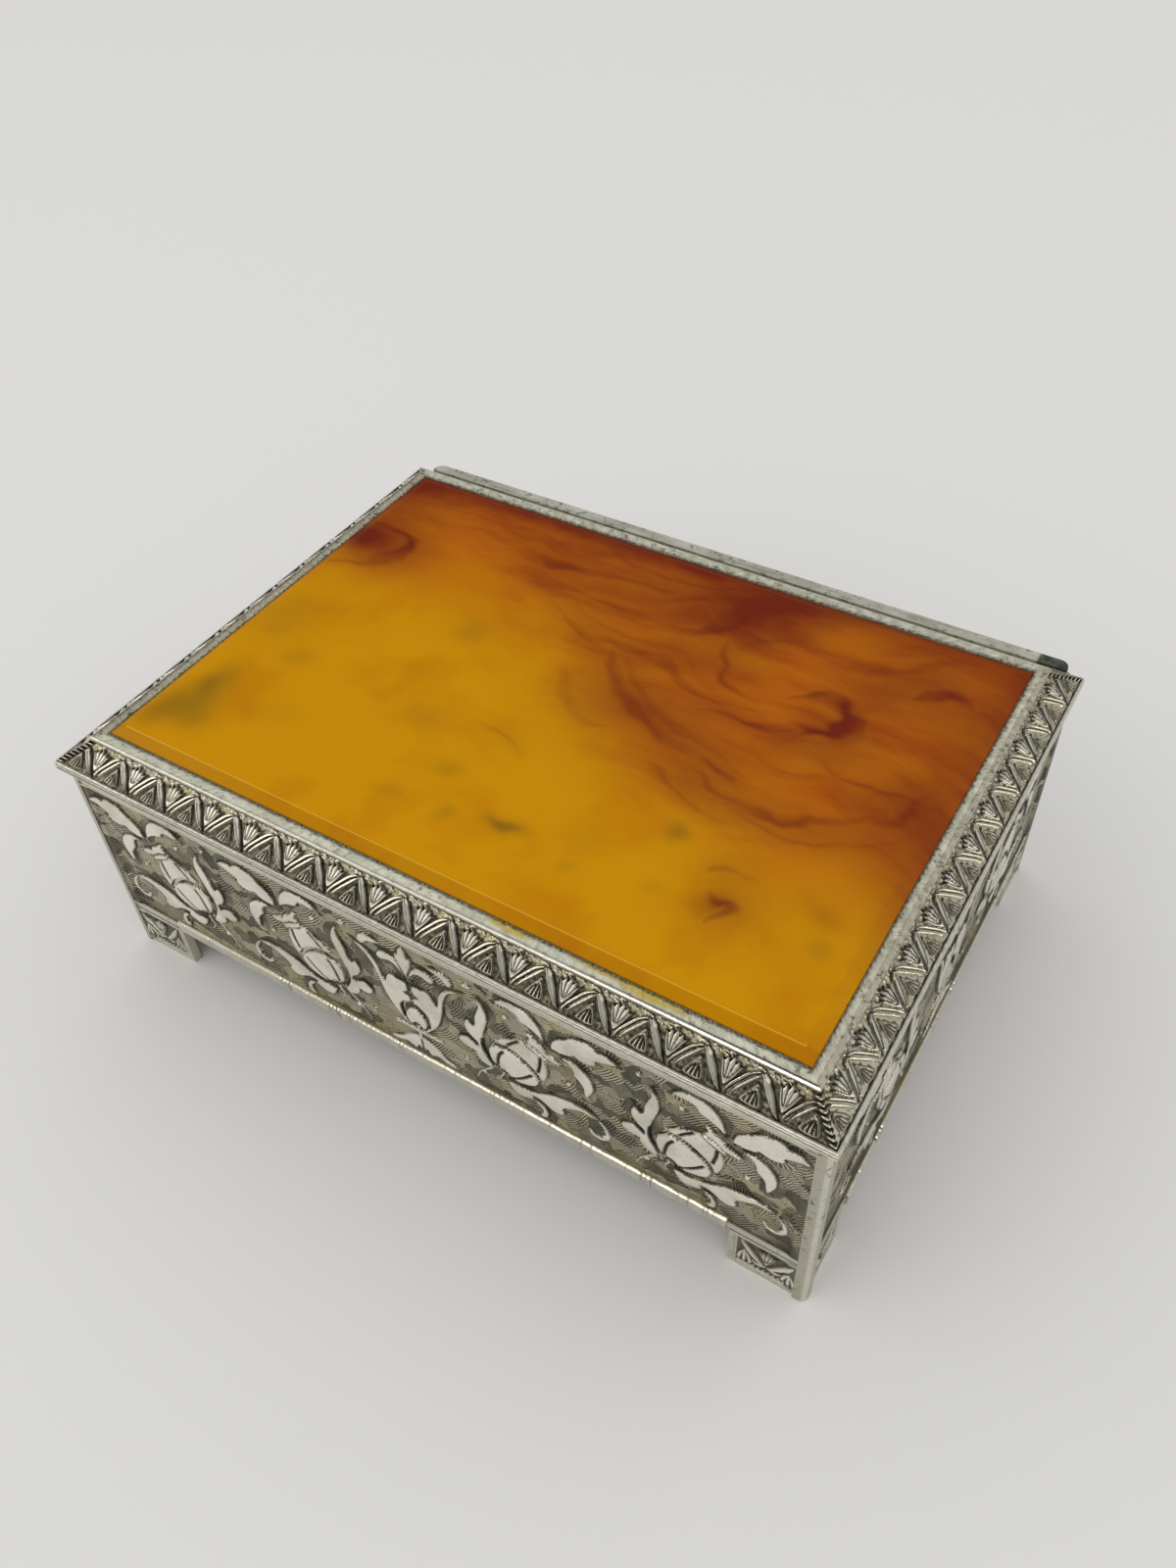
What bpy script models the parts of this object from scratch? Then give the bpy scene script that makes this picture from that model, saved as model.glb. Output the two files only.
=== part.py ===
"""A footed table cigarette box in cast silver plate, with a bevelled amber slab in its hinged lid.

Metres, +Z up, front towards -Y. The origin is the centre of the footprint, on the table.
"""

import math

import bmesh
import bpy
from mathutils import Matrix, Vector

# Outside of the lid and the body
LID_LENGTH = 0.1279
LID_DEPTH = 0.0923
LID_OVERHANG = 0.00105
WALL_HEIGHT = 0.0322
FOOT_HEIGHT = 0.0095

# Joints between pieces: solder or glue lines, the seam under the lid, running fits
JOINT_GAP = 0.0003
SEAM_GAP = 0.0003
MITRE_GAP = 0.0003

# Cast walls
WALL_THICK = 0.0014
CORNER_RADIUS = 0.0016
WALL_BORDER = 0.00135
WALL_TOP_BORDER = 0.00285
PANEL_DEPTH = 0.00040
PANEL_DRAFT = 0.00015
CORNER_STEPS = 4

# Rounded lip along the bottom edge of each wall, between the feet
LIP_HEIGHT = 0.0027
LIP_BULGE = 0.00035
LIP_DROP = 0.00015
LIP_STEPS = 6

# Bracket feet
FOOT_LENGTH = 0.0118
FOOT_SIDE_LENGTH = 0.0106
FOOT_FRAME = 0.0013
FOOT_TOP_FRAME = 0.0009
GUSSET_THICK = 0.0012
GUSSET_DROP = 0.0005
GUSSET_SHORT = 0.0012

# Sheet metal and cedar inside the body
BASE_THICK = 0.0010
LINER_THICK = 0.0012
LINER_FLOOR_THICK = 0.0015
DIVIDER_THICK = 0.0020
DIVIDER_DROP = 0.0040
GROOVE_DEPTH = 0.0004
WOOD_EDGE = 0.0002

# Lid moulding, as inward distances and heights of its section
RIM_HEIGHT = 0.0015
RIM_ROUND = 0.00012
RIM_LEDGE = 0.0004
BAND_STEP = 0.00015
BAND_RUN = 0.0042
BAND_RISE = 0.0026
RAIL_WALL = 0.0014
RAIL_SHELL = 0.0011

# Bezel and slab
BEZEL_FLANGE = 0.0007
BEZEL_FACE = 0.0013
SLAB_THICK = 0.0035
SLAB_BEVEL = 0.0021
SLAB_CROWN = 0.0009
BACKING_THICK = 0.0008
LID_PANEL_THICK = 0.0015
LID_PANEL_CLEARANCE = 0.0008

# Hinge: knuckles lie in coves, and the bearers' faces meet as the lid's stop
KNUCKLES = 7
KNUCKLE_RADIUS = 0.0011
COVE_CLEARANCE = 0.0002
BORE_RADIUS = 0.00062
PIN_RADIUS = 0.00052
PIN_HEAD = 0.0005
HINGE_LENGTH = 0.1220
STOP_ANGLE = math.radians(106)
BEARER_END_ROUND = 0.0015
LID_BEARER_RISE = 0.0020
LAND_HEIGHT = 0.0024
BODY_BEARER_DROP = 0.0042
ROUND_SIDES = 20

# Two places nearer than this are the same, and faces turned less than this look one way
TOUCH = 0.000001
SAME_WAY = math.radians(2.5)

# Heights
FOOT_TOP = FOOT_HEIGHT - JOINT_GAP
WALL_TOP = FOOT_HEIGHT + WALL_HEIGHT
SEAM = WALL_TOP + SEAM_GAP / 2
LID_BOTTOM = WALL_TOP + SEAM_GAP
RIM_TOP = LID_BOTTOM + RIM_HEIGHT
BAND_TOP = RIM_TOP - BAND_STEP + BAND_RISE
BEZEL_TOP = BAND_TOP + JOINT_GAP + BEZEL_FLANGE
SLAB_BOTTOM = BEZEL_TOP - SLAB_THICK
BACKING_TOP = SLAB_BOTTOM - JOINT_GAP
LID_PANEL_TOP = BACKING_TOP - BACKING_THICK - JOINT_GAP
LID_PANEL_BOTTOM = LID_PANEL_TOP - LID_PANEL_THICK
BASE_TOP = FOOT_HEIGHT + BASE_THICK
LINER_FLOOR_BOTTOM = BASE_TOP + JOINT_GAP
LINER_FLOOR_TOP = LINER_FLOOR_BOTTOM + LINER_FLOOR_THICK
LINER_BOTTOM = LINER_FLOOR_TOP + JOINT_GAP
LINER_TOP = LID_PANEL_BOTTOM - JOINT_GAP

# Hinge axis, from the lid's back face: the cove clears the bearer's front, which is soldered there
COVE_RADIUS = KNUCKLE_RADIUS + COVE_CLEARANCE
BEARER_OUT = COVE_RADIUS * math.cos(STOP_ANGLE / 2)
AXIS_OUT = JOINT_GAP + COVE_RADIUS
KNUCKLE_PITCH = HINGE_LENGTH / KNUCKLES

# Plan: the footprint runs from the lid's front to the back of the knuckles
LID_Y = -(AXIS_OUT + KNUCKLE_RADIUS) / 2
AXIS_Y = LID_Y + LID_DEPTH / 2 + AXIS_OUT
BODY_LENGTH = LID_LENGTH - 2 * LID_OVERHANG
BODY_DEPTH = LID_DEPTH - 2 * LID_OVERHANG
INNER_LENGTH = BODY_LENGTH - 2 * WALL_THICK
INNER_DEPTH = BODY_DEPTH - 2 * WALL_THICK
BAND_IN = RIM_LEDGE + BAND_RUN
BEZEL_OUTER_IN = BAND_IN + JOINT_GAP
BEZEL_INNER_IN = BEZEL_OUTER_IN + BEZEL_FACE
SLAB_IN = BEZEL_INNER_IN + JOINT_GAP


def arc_shares(sides):
    """The shares of an arc's turn at the ends of its steps, both ends included."""
    return [step / sides for step in range(sides + 1)]


def make_material(name, colour, metallic, roughness):
    material = bpy.data.materials.new(name)
    material.use_nodes = True
    shader = material.node_tree.nodes["Principled BSDF"]
    shader.inputs["Base Color"].default_value = (*colour, 1.0)
    shader.inputs["Metallic"].default_value = metallic
    shader.inputs["Roughness"].default_value = roughness
    return material


def add_object(name, bm, material=None, location=(0, 0, 0), turn=0.0):
    """Makes an object of the bmesh: a part if it has a material, otherwise a hidden cutter or joiner."""
    bmesh.ops.recalc_face_normals(bm, faces=bm.faces)
    mesh = bpy.data.meshes.new(name)
    bm.to_mesh(mesh)
    bm.free()
    piece = bpy.data.objects.new(name, mesh)
    piece.location = location
    piece.rotation_euler.z = turn
    if material:
        mesh.materials.append(material)
        PARTS.objects.link(piece)
    else:
        piece.hide_render = True
        piece.display_type = "WIRE"
        HELPERS.objects.link(piece)
    return piece


def ride_lid(piece):
    piece.parent = LID_AXIS
    piece.matrix_parent_inverse = LID_AXIS.matrix_world.inverted()
    return piece


def combine(piece, helper, operation):
    """Cuts the helper from the piece or joins it on; the helper moves with the piece's place."""
    modifier = piece.modifiers.new(helper.name, "BOOLEAN")
    modifier.operation = operation
    modifier.solver = "EXACT"
    modifier.object = helper


def prism(outline, low, high):
    """A closed outline in plan, extruded from one height to another."""
    bm = bmesh.new()
    face = bm.faces.new([bm.verts.new((x, y, low)) for x, y in outline])
    up = bmesh.ops.extrude_face_region(bm, geom=[face])["geom"]
    corners = [item for item in up if isinstance(item, bmesh.types.BMVert)]
    bmesh.ops.translate(bm, verts=corners, vec=(0, 0, high - low))
    return bm


def bar(section, half_length):
    """A closed section of (y, z) points, extruded along X to both sides of the origin."""
    bm = bmesh.new()
    face = bm.faces.new([bm.verts.new((-half_length, y, z)) for y, z in section])
    far = bmesh.ops.extrude_face_region(bm, geom=[face])["geom"]
    corners = [item for item in far if isinstance(item, bmesh.types.BMVert)]
    bmesh.ops.translate(bm, verts=corners, vec=(2 * half_length, 0, 0))
    return bm


def block(low, high):
    """A box between two corners."""
    bm = bmesh.new()
    size = [b - a for a, b in zip(low, high)]
    centre = [(a + b) / 2 for a, b in zip(low, high)]
    bmesh.ops.create_cube(bm, size=1, matrix=Matrix.Translation(centre) @ Matrix.Diagonal((*size, 1)))
    return bm


def rod(radius, half_length, sides):
    """A cylinder along X about the origin."""
    bm = bmesh.new()
    along_x = Matrix.Rotation(math.pi / 2, 4, "Y")
    bmesh.ops.create_cone(
        bm,
        cap_ends=True,
        segments=sides,
        radius1=radius,
        radius2=radius,
        depth=2 * half_length,
        matrix=along_x,
    )
    return bm


def is_square_to_x(edge):
    return abs(edge.verts[0].co.x - edge.verts[1].co.x) < TOUCH


def soften(bm, width, steps=1):
    """Breaks every sharp edge."""
    bmesh.ops.bevel(
        bm,
        geom=bm.edges[:],
        offset=width,
        offset_type="OFFSET",
        affect="EDGES",
        segments=steps,
        profile=0.5,
        material=-1,
    )
    return bm


def mitre(bm, half_length):
    """Cuts both ends of a bar at 45 degrees, outer face longest, half the mitre gap short of the corner."""
    for side in (-1, 1):
        geometry = bm.verts[:] + bm.edges[:] + bm.faces[:]
        corner = Vector((side * (half_length - MITRE_GAP / math.sqrt(2)), 0, 0))
        cut = bmesh.ops.bisect_plane(
            bm,
            geom=geometry,
            plane_co=corner,
            plane_no=Vector((side, 1, 0)),
            clear_outer=True,
        )["geom_cut"]
        bmesh.ops.edgeloop_fill(bm, edges=[item for item in cut if isinstance(item, bmesh.types.BMEdge)])
    return bm


def faces_along(bm, normal):
    """The faces that look along the normal."""
    bm.normal_update()
    return [face for face in bm.faces if face.normal.angle(Vector(normal)) < SAME_WAY]


def sink_panel(bm, normal, border, top_border):
    """Sinks the largest face that looks along the normal, inside a plain border."""
    panel = max(faces_along(bm, normal), key=lambda face: face.calc_area())
    bmesh.ops.inset_individual(bm, faces=[panel], thickness=border, depth=0)
    top = max(vert.co.z for vert in panel.verts)
    upper = [vert for vert in panel.verts if top - vert.co.z < TOUCH]
    bmesh.ops.translate(bm, verts=upper, vec=(0, 0, border - top_border))
    bmesh.ops.inset_individual(bm, faces=[panel], thickness=PANEL_DRAFT, depth=-PANEL_DEPTH)


def four_sides(length, depth, centre_y):
    """The four sides of a frame: name, half length, place of the middle of the outer face, and turn."""
    return (
        ("front", length / 2, (0, centre_y - depth / 2), 0.0),
        ("right", depth / 2, (length / 2, centre_y), math.pi / 2),
        ("back", length / 2, (0, centre_y + depth / 2), math.pi),
        ("left", depth / 2, (-length / 2, centre_y), -math.pi / 2),
    )


def wall_outline(half_length):
    """Plan of a wall, outer face on Y = 0: rounded outer corners that stop at the mitre."""
    last = math.pi / 4 - math.asin(MITRE_GAP / 2 / CORNER_RADIUS)
    right = []
    for share in arc_shares(CORNER_STEPS):
        angle = share * last
        x = half_length - CORNER_RADIUS + CORNER_RADIUS * math.sin(angle)
        y = CORNER_RADIUS - CORNER_RADIUS * math.cos(angle)
        right.append((x, y))
    right.append((half_length - WALL_THICK - MITRE_GAP / math.sqrt(2), WALL_THICK))
    left = [(-x, y) for x, y in reversed(right)]
    return left + right


def lip_section():
    """Section of the lip as (y, z), its back edge buried in the wall: an arc through bottom, bulge and top."""
    half = LIP_HEIGHT / 2
    radius = (half**2 + LIP_BULGE**2) / (2 * LIP_BULGE)
    reach = math.asin(half / radius)
    points = [(WALL_THICK / 2, LIP_HEIGHT - LIP_DROP), (WALL_THICK / 2, -LIP_DROP)]
    for share in arc_shares(LIP_STEPS):
        angle = (2 * share - 1) * reach
        y = radius - LIP_BULGE - radius * math.cos(angle)
        points.append((y, half - LIP_DROP + radius * math.sin(angle)))
    return points


def make_walls(material):
    for side, half_length, place, turn in four_sides(BODY_LENGTH, BODY_DEPTH, LID_Y):
        bm = prism(wall_outline(half_length), 0, WALL_HEIGHT)
        sink_panel(bm, (0, -1, 0), WALL_BORDER, WALL_TOP_BORDER)
        place = (*place, FOOT_HEIGHT)
        wall = add_object(side + "_wall", bm, material, place, turn)
        foot = FOOT_LENGTH if side in ("front", "back") else FOOT_SIDE_LENGTH
        lip = bar(lip_section(), half_length - foot - JOINT_GAP)
        combine(wall, add_object(side + "_lip", lip, location=place, turn=turn), "UNION")


def foot_outline(along_x, along_y):
    """Plan of a corner bracket, corner at the origin, arms along the two signed directions."""
    corner = []
    for share in arc_shares(2 * CORNER_STEPS):
        angle = math.pi / 2 * share
        x = CORNER_RADIUS * (1 - math.sin(angle))
        y = CORNER_RADIUS * (1 - math.cos(angle))
        corner.append((x, y))
    arms = [
        (0, FOOT_SIDE_LENGTH),
        (WALL_THICK, FOOT_SIDE_LENGTH),
        (WALL_THICK, WALL_THICK),
        (FOOT_LENGTH, WALL_THICK),
        (FOOT_LENGTH, 0),
    ]
    return [(along_x * x, along_y * y) for x, y in corner + arms]


def gusset_outline(along_x, along_y):
    """Plan of the web across a foot's inner corner, its edges buried in the arms."""
    buried = WALL_THICK / 2
    points = [
        (buried, buried),
        (buried, FOOT_SIDE_LENGTH - GUSSET_SHORT),
        (FOOT_LENGTH - GUSSET_SHORT, buried),
    ]
    return [(along_x * x, along_y * y) for x, y in points]


def make_feet(material):
    for front_back, along_y in (("front", 1), ("back", -1)):
        for left_right, along_x in (("left", 1), ("right", -1)):
            name = f"foot_{front_back}_{left_right}"
            bm = prism(foot_outline(along_x, along_y), 0, FOOT_TOP)
            bmesh.ops.recalc_face_normals(bm, faces=bm.faces)
            sink_panel(bm, (0, -along_y, 0), FOOT_FRAME, FOOT_TOP_FRAME)
            sink_panel(bm, (-along_x, 0, 0), FOOT_FRAME, FOOT_TOP_FRAME)
            place = (-along_x * BODY_LENGTH / 2, LID_Y - along_y * BODY_DEPTH / 2, 0)
            foot = add_object(name, bm, material, place)
            top = FOOT_TOP - GUSSET_DROP
            gusset = prism(gusset_outline(along_x, along_y), top - GUSSET_THICK, top)
            combine(foot, add_object(name + "_gusset", gusset, location=place), "UNION")


def make_base(material):
    x = INNER_LENGTH / 2 - JOINT_GAP
    y = INNER_DEPTH / 2 - JOINT_GAP
    bm = block((-x, -y, FOOT_HEIGHT), (x, y, BASE_TOP))
    add_object("base_plate", bm, material, (0, LID_Y, 0))


def make_liner(material):
    """Cedar floor and four sides; the front and back pieces are grooved for the divider."""
    x = INNER_LENGTH / 2 - JOINT_GAP
    y = INNER_DEPTH / 2 - JOINT_GAP
    floor = soften(block((-x, -y, LINER_FLOOR_BOTTOM), (x, y, LINER_FLOOR_TOP)), WOOD_EDGE)
    add_object("liner_floor", floor, material, (0, LID_Y, 0))
    inner_y = y - LINER_THICK
    groove_half = DIVIDER_THICK / 2 + JOINT_GAP
    for name, side in (("liner_front", -1), ("liner_back", 1)):
        ys = sorted((side * y, side * inner_y))
        bm = soften(block((-x, ys[0], LINER_BOTTOM), (x, ys[1], LINER_TOP)), WOOD_EDGE)
        piece = add_object(name, bm, material, (0, LID_Y, 0))
        ys = sorted((side * (inner_y + GROOVE_DEPTH), side * inner_y / 2))
        groove = block((-groove_half, ys[0], 0), (groove_half, ys[1], 2 * LINER_TOP))
        combine(piece, add_object(name + "_groove", groove, location=(0, LID_Y, 0)), "DIFFERENCE")
    side_y = inner_y - JOINT_GAP
    for name, side in (("liner_left", -1), ("liner_right", 1)):
        xs = sorted((side * x, side * (x - LINER_THICK)))
        bm = soften(block((xs[0], -side_y, LINER_BOTTOM), (xs[1], side_y, LINER_TOP)), WOOD_EDGE)
        add_object(name, bm, material, (0, LID_Y, 0))
    reach = inner_y + GROOVE_DEPTH - JOINT_GAP
    half = DIVIDER_THICK / 2
    top = LINER_TOP - DIVIDER_DROP
    divider = soften(block((-half, -reach, LINER_BOTTOM), (half, reach, top)), WOOD_EDGE)
    add_object("liner_divider", divider, material, (0, LID_Y, 0))


def rail_section():
    """Lid moulding as (inward, up): plain rim, ledge, sloped ornament band, and a shell under it."""
    slope = BAND_RISE / BAND_RUN
    shell_drop = RAIL_SHELL * math.hypot(1, slope)
    under_top = BAND_TOP - shell_drop
    under_foot = under_top - (BEZEL_OUTER_IN - RAIL_WALL) * slope
    return [
        (0, LID_BOTTOM),
        (0, RIM_TOP - RIM_ROUND),
        (RIM_ROUND, RIM_TOP),
        (RIM_LEDGE, RIM_TOP),
        (RIM_LEDGE, RIM_TOP - BAND_STEP),
        (BAND_IN, BAND_TOP),
        (BEZEL_OUTER_IN, BAND_TOP),
        (BEZEL_OUTER_IN, under_top),
        (RAIL_WALL, under_foot),
        (RAIL_WALL, LID_BOTTOM),
    ]


def make_rails(material):
    for side, half_length, place, turn in four_sides(LID_LENGTH, LID_DEPTH, LID_Y):
        bm = mitre(bar(rail_section(), half_length), half_length)
        ride_lid(add_object(f"lid_{side}_rail", bm, material, (*place, 0), turn))


def frame_ring(inward_outer, inward_inner, low, high):
    """A rectangular ring, its two edges given as distances inward from the lid's outer face."""
    bm = bmesh.new()
    loops = []
    for inward in (inward_outer, inward_inner):
        x = LID_LENGTH / 2 - inward
        y = LID_DEPTH / 2 - inward
        corners = [bm.verts.new((sx * x, sy * y, low)) for sx, sy in ((-1, -1), (1, -1), (1, 1), (-1, 1))]
        loops += [bm.edges.new((corners[i], corners[i - 1])) for i in range(4)]
    faces = bmesh.ops.bridge_loops(bm, edges=loops)["faces"]
    up = bmesh.ops.extrude_face_region(bm, geom=faces)["geom"]
    corners = [item for item in up if isinstance(item, bmesh.types.BMVert)]
    bmesh.ops.translate(bm, verts=corners, vec=(0, 0, high - low))
    return bm


def make_bezel(material):
    """Flange over the moulding's top edge, with a leg down to the backing plate."""
    flange = frame_ring(BEZEL_OUTER_IN - JOINT_GAP, BEZEL_INNER_IN, BEZEL_TOP - BEZEL_FLANGE, BEZEL_TOP)
    bezel = ride_lid(add_object("lid_bezel", flange, material, (0, LID_Y, 0)))
    overlap = BEZEL_FLANGE / 2
    leg = frame_ring(BEZEL_OUTER_IN + JOINT_GAP, BEZEL_INNER_IN, SLAB_BOTTOM, BEZEL_TOP - overlap)
    combine(bezel, add_object("lid_bezel_leg", leg, location=(0, LID_Y, 0)), "UNION")


def make_slab(material):
    x = LID_LENGTH / 2 - SLAB_IN
    y = LID_DEPTH / 2 - SLAB_IN
    bm = block((-x, -y, SLAB_BOTTOM), (x, y, BEZEL_TOP))
    bmesh.ops.inset_individual(bm, faces=faces_along(bm, (0, 0, 1)), thickness=SLAB_BEVEL, depth=SLAB_CROWN)
    ride_lid(add_object("amber_slab", bm, material, (0, LID_Y, 0)))


def make_lid_inside(plate_material, wood):
    """Backing plate pressed up under the moulding, and the cedar panel that closes on the liner."""
    slope = BAND_RISE / BAND_RUN
    under_top = BAND_TOP - RAIL_SHELL * math.hypot(1, slope)
    meets_slope = BEZEL_OUTER_IN - (under_top - BACKING_TOP) / slope
    plate_in = max(meets_slope, RAIL_WALL) + JOINT_GAP * math.hypot(1, slope) / slope
    x = LID_LENGTH / 2 - plate_in
    y = LID_DEPTH / 2 - plate_in
    plate = block((-x, -y, BACKING_TOP - BACKING_THICK), (x, y, BACKING_TOP))
    ride_lid(add_object("lid_backing_plate", plate, plate_material, (0, LID_Y, 0)))
    x = INNER_LENGTH / 2 - LID_PANEL_CLEARANCE
    y = INNER_DEPTH / 2 - LID_PANEL_CLEARANCE
    panel = soften(block((-x, -y, LID_PANEL_BOTTOM), (x, y, LID_PANEL_TOP)), WOOD_EDGE)
    ride_lid(add_object("lid_liner", panel, wood, (0, LID_Y, 0)))


def bearer_bar(section):
    """A hinge bearer about the axis, with the back corners of its ends rounded in plan."""
    bm = bar(section, HINGE_LENGTH / 2)
    upright = [edge for edge in bm.edges if is_square_to_x(edge)]
    outer = [edge for edge in upright if all(abs(v.co.y - BEARER_OUT) < TOUCH for v in edge.verts)]
    bmesh.ops.bevel(
        bm,
        geom=outer,
        offset=BEARER_END_ROUND,
        offset_type="OFFSET",
        affect="EDGES",
        segments=CORNER_STEPS,
        profile=0.5,
        material=-1,
    )
    return bm


def fit_knuckles(bearer, own, place):
    """Joins the bearer's own knuckles, cuts coves for the other bearer's, and bores it for the pin."""
    for number in range(KNUCKLES):
        middle = (number - (KNUCKLES - 1) / 2) * KNUCKLE_PITCH
        at = (place[0] + middle, place[1], place[2])
        name = f"{bearer.name}_{number}"
        if number % 2 == own:
            knuckle = rod(KNUCKLE_RADIUS, (KNUCKLE_PITCH - JOINT_GAP) / 2, ROUND_SIDES)
            combine(bearer, add_object(name, knuckle, location=at), "UNION")
        else:
            cove = rod(COVE_RADIUS, (KNUCKLE_PITCH + JOINT_GAP) / 2, ROUND_SIDES)
            combine(bearer, add_object(name, cove, location=at), "DIFFERENCE")
    bore = rod(BORE_RADIUS, HINGE_LENGTH, ROUND_SIDES)
    combine(bearer, add_object(bearer.name + "_bore", bore, location=place), "DIFFERENCE")


def make_hinge(material, pin_material):
    place = (0, AXIS_Y, SEAM)
    front = AXIS_OUT + LID_OVERHANG - JOINT_GAP
    low = -SEAM_GAP / 2
    body_section = [
        (-front, low),
        (BEARER_OUT, low),
        (BEARER_OUT, -LAND_HEIGHT),
        (-front + WALL_THICK / 2, -BODY_BEARER_DROP),
        (-front, -BODY_BEARER_DROP),
    ]
    body_bearer = add_object("body_hinge_bearer", bearer_bar(body_section), material, place)
    fit_knuckles(body_bearer, 0, place)
    front = AXIS_OUT - JOINT_GAP
    lid_section = [
        (-front, -low),
        (-front, LID_BEARER_RISE),
        (BEARER_OUT, LID_BEARER_RISE),
        (BEARER_OUT, -low),
    ]
    lid_bearer = ride_lid(add_object("lid_hinge_bearer", bearer_bar(lid_section), material, place))
    fit_knuckles(lid_bearer, 1, place)
    pin = rod(PIN_RADIUS, HINGE_LENGTH / 2 + PIN_HEAD, ROUND_SIDES)
    ends = [edge for edge in pin.edges if is_square_to_x(edge)]
    bmesh.ops.bevel(
        pin,
        geom=ends,
        offset=PIN_RADIUS / 2,
        offset_type="OFFSET",
        affect="EDGES",
        segments=2,
        profile=0.5,
        material=-1,
    )
    add_object("hinge_pin", pin, pin_material, place)


def clear_scene():
    for old in list(bpy.data.objects):
        bpy.data.objects.remove(old, do_unlink=True)


def shade_round_pieces():
    """Smooth shading with sharp edges kept where faces turn more than 35 degrees."""
    for piece in PARTS.objects:
        if piece.type == "MESH":
            piece.data.shade_smooth()
            piece.data.set_sharp_from_angle(angle=math.radians(35))


clear_scene()
PARTS = bpy.data.collections.new("cigarette_box")
HELPERS = bpy.data.collections.new("cutters")
bpy.context.scene.collection.children.link(PARTS)
bpy.context.scene.collection.children.link(HELPERS)
LID_AXIS = bpy.data.objects.new("lid_axis", None)
LID_AXIS.location = (0, AXIS_Y, SEAM)
PARTS.objects.link(LID_AXIS)
bpy.context.view_layer.update()

CAST_SILVER = make_material("cast_silver", (0.62, 0.60, 0.55), 1.0, 0.32)
BRIGHT_SILVER = make_material("bright_silver", (0.72, 0.71, 0.67), 1.0, 0.22)
SHEET_METAL = make_material("sheet_metal", (0.55, 0.53, 0.48), 1.0, 0.40)
STEEL = make_material("pin_steel", (0.50, 0.50, 0.50), 1.0, 0.35)
CEDAR = make_material("cedar", (0.42, 0.22, 0.11), 0.0, 0.60)
AMBER = make_material("amber_resin", (0.52, 0.20, 0.01), 0.0, 0.12)

make_walls(CAST_SILVER)
make_feet(CAST_SILVER)
make_base(SHEET_METAL)
make_liner(CEDAR)
make_rails(CAST_SILVER)
make_bezel(BRIGHT_SILVER)
make_slab(AMBER)
make_lid_inside(SHEET_METAL, CEDAR)
make_hinge(BRIGHT_SILVER, STEEL)
shade_round_pieces()
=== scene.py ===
"""Looks for the cigarette box: cast silver, a marbled amber slab and cedar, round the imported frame.

The scene is in metres. Ornament is worked out in millimetres on flat fields and then laid on the box.
"""

import math

import bmesh
import bpy
import numpy as np
from mathutils import Matrix, Vector


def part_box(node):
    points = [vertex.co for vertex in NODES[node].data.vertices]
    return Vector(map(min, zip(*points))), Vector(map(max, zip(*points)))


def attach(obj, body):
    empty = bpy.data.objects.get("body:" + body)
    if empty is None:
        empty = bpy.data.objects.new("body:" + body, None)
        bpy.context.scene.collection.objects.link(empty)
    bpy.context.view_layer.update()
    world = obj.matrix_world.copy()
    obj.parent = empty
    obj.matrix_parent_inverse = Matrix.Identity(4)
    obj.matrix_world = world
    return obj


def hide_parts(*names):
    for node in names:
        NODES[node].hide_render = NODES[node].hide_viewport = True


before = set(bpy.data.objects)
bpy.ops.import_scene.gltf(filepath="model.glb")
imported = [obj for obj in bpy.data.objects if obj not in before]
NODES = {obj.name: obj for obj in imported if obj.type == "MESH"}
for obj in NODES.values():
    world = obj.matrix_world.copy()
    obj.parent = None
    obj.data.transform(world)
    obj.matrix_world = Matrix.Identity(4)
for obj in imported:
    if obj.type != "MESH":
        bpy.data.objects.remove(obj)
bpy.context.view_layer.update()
MM = 0.001

# Places read from the frame, in millimetres
LID_FRONT, LID_BACK = (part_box(f"lid_{side}_rail") for side in ("front", "back"))
BODY_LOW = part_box("foot_front_left")[0] / MM
BODY_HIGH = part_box("foot_back_right")[1] / MM
CENTRE_Y = (LID_FRONT[0].y + LID_BACK[1].y) / 2 / MM
LID_HALF = (LID_FRONT[1].x / MM, (LID_BACK[1].y - LID_FRONT[0].y) / 2 / MM)
BODY_HALF = (BODY_HIGH.x, (BODY_HIGH.y - BODY_LOW.y) / 2)
BEZEL_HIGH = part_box("lid_bezel")[1] / MM
SLAB_LOW, SLAB_HIGH = (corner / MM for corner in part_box("amber_slab"))
WALL_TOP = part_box("front_wall")[1].z / MM
FOOT_TOP = BODY_HIGH.z

# The sunk panels of the walls and feet in the frame, and the ornament's own fields, from the outer corner in
CORNER_RADIUS = 1.6
PANEL_DEPTH = 0.40
PANEL_END = CORNER_RADIUS + 0.95
WALL_FOOT = FOOT_TOP + 0.3
WALL_PANEL = (WALL_FOOT + 0.98, WALL_TOP - 2.48)
WALL_FIELD = (WALL_FOOT + 1.35, WALL_TOP - 2.85)
FIELD_END = 1.38
FOOT_LONG = {"front": 11.8, "back": 11.8, "left": 10.6, "right": 10.6}
FOOT_PANEL = (0.95, 8.64)
FOOT_FIELD = (1.3, 8.3)
FOOT_FRAME = 1.3

# The lid moulding's sloped band and the bezel, as distances inward from the lid's outer face
BAND_FOOT = (0.40, LID_FRONT[0].z / MM + 1.35)
BAND_HEAD = (4.60, LID_FRONT[0].z / MM + 3.95)
RIM_LOW, RIM_HIGH = LID_FRONT[0].z / MM + 0.02, LID_FRONT[0].z / MM + 1.4
BEZEL_OUTER = LID_HALF[0] - BEZEL_HIGH.x
SLAB_INWARD = LID_HALF[0] - SLAB_HIGH.x
SLAB_BEVEL = 2.1
BEVEL_FRONT = SLAB_LOW.y + SLAB_BEVEL

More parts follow.
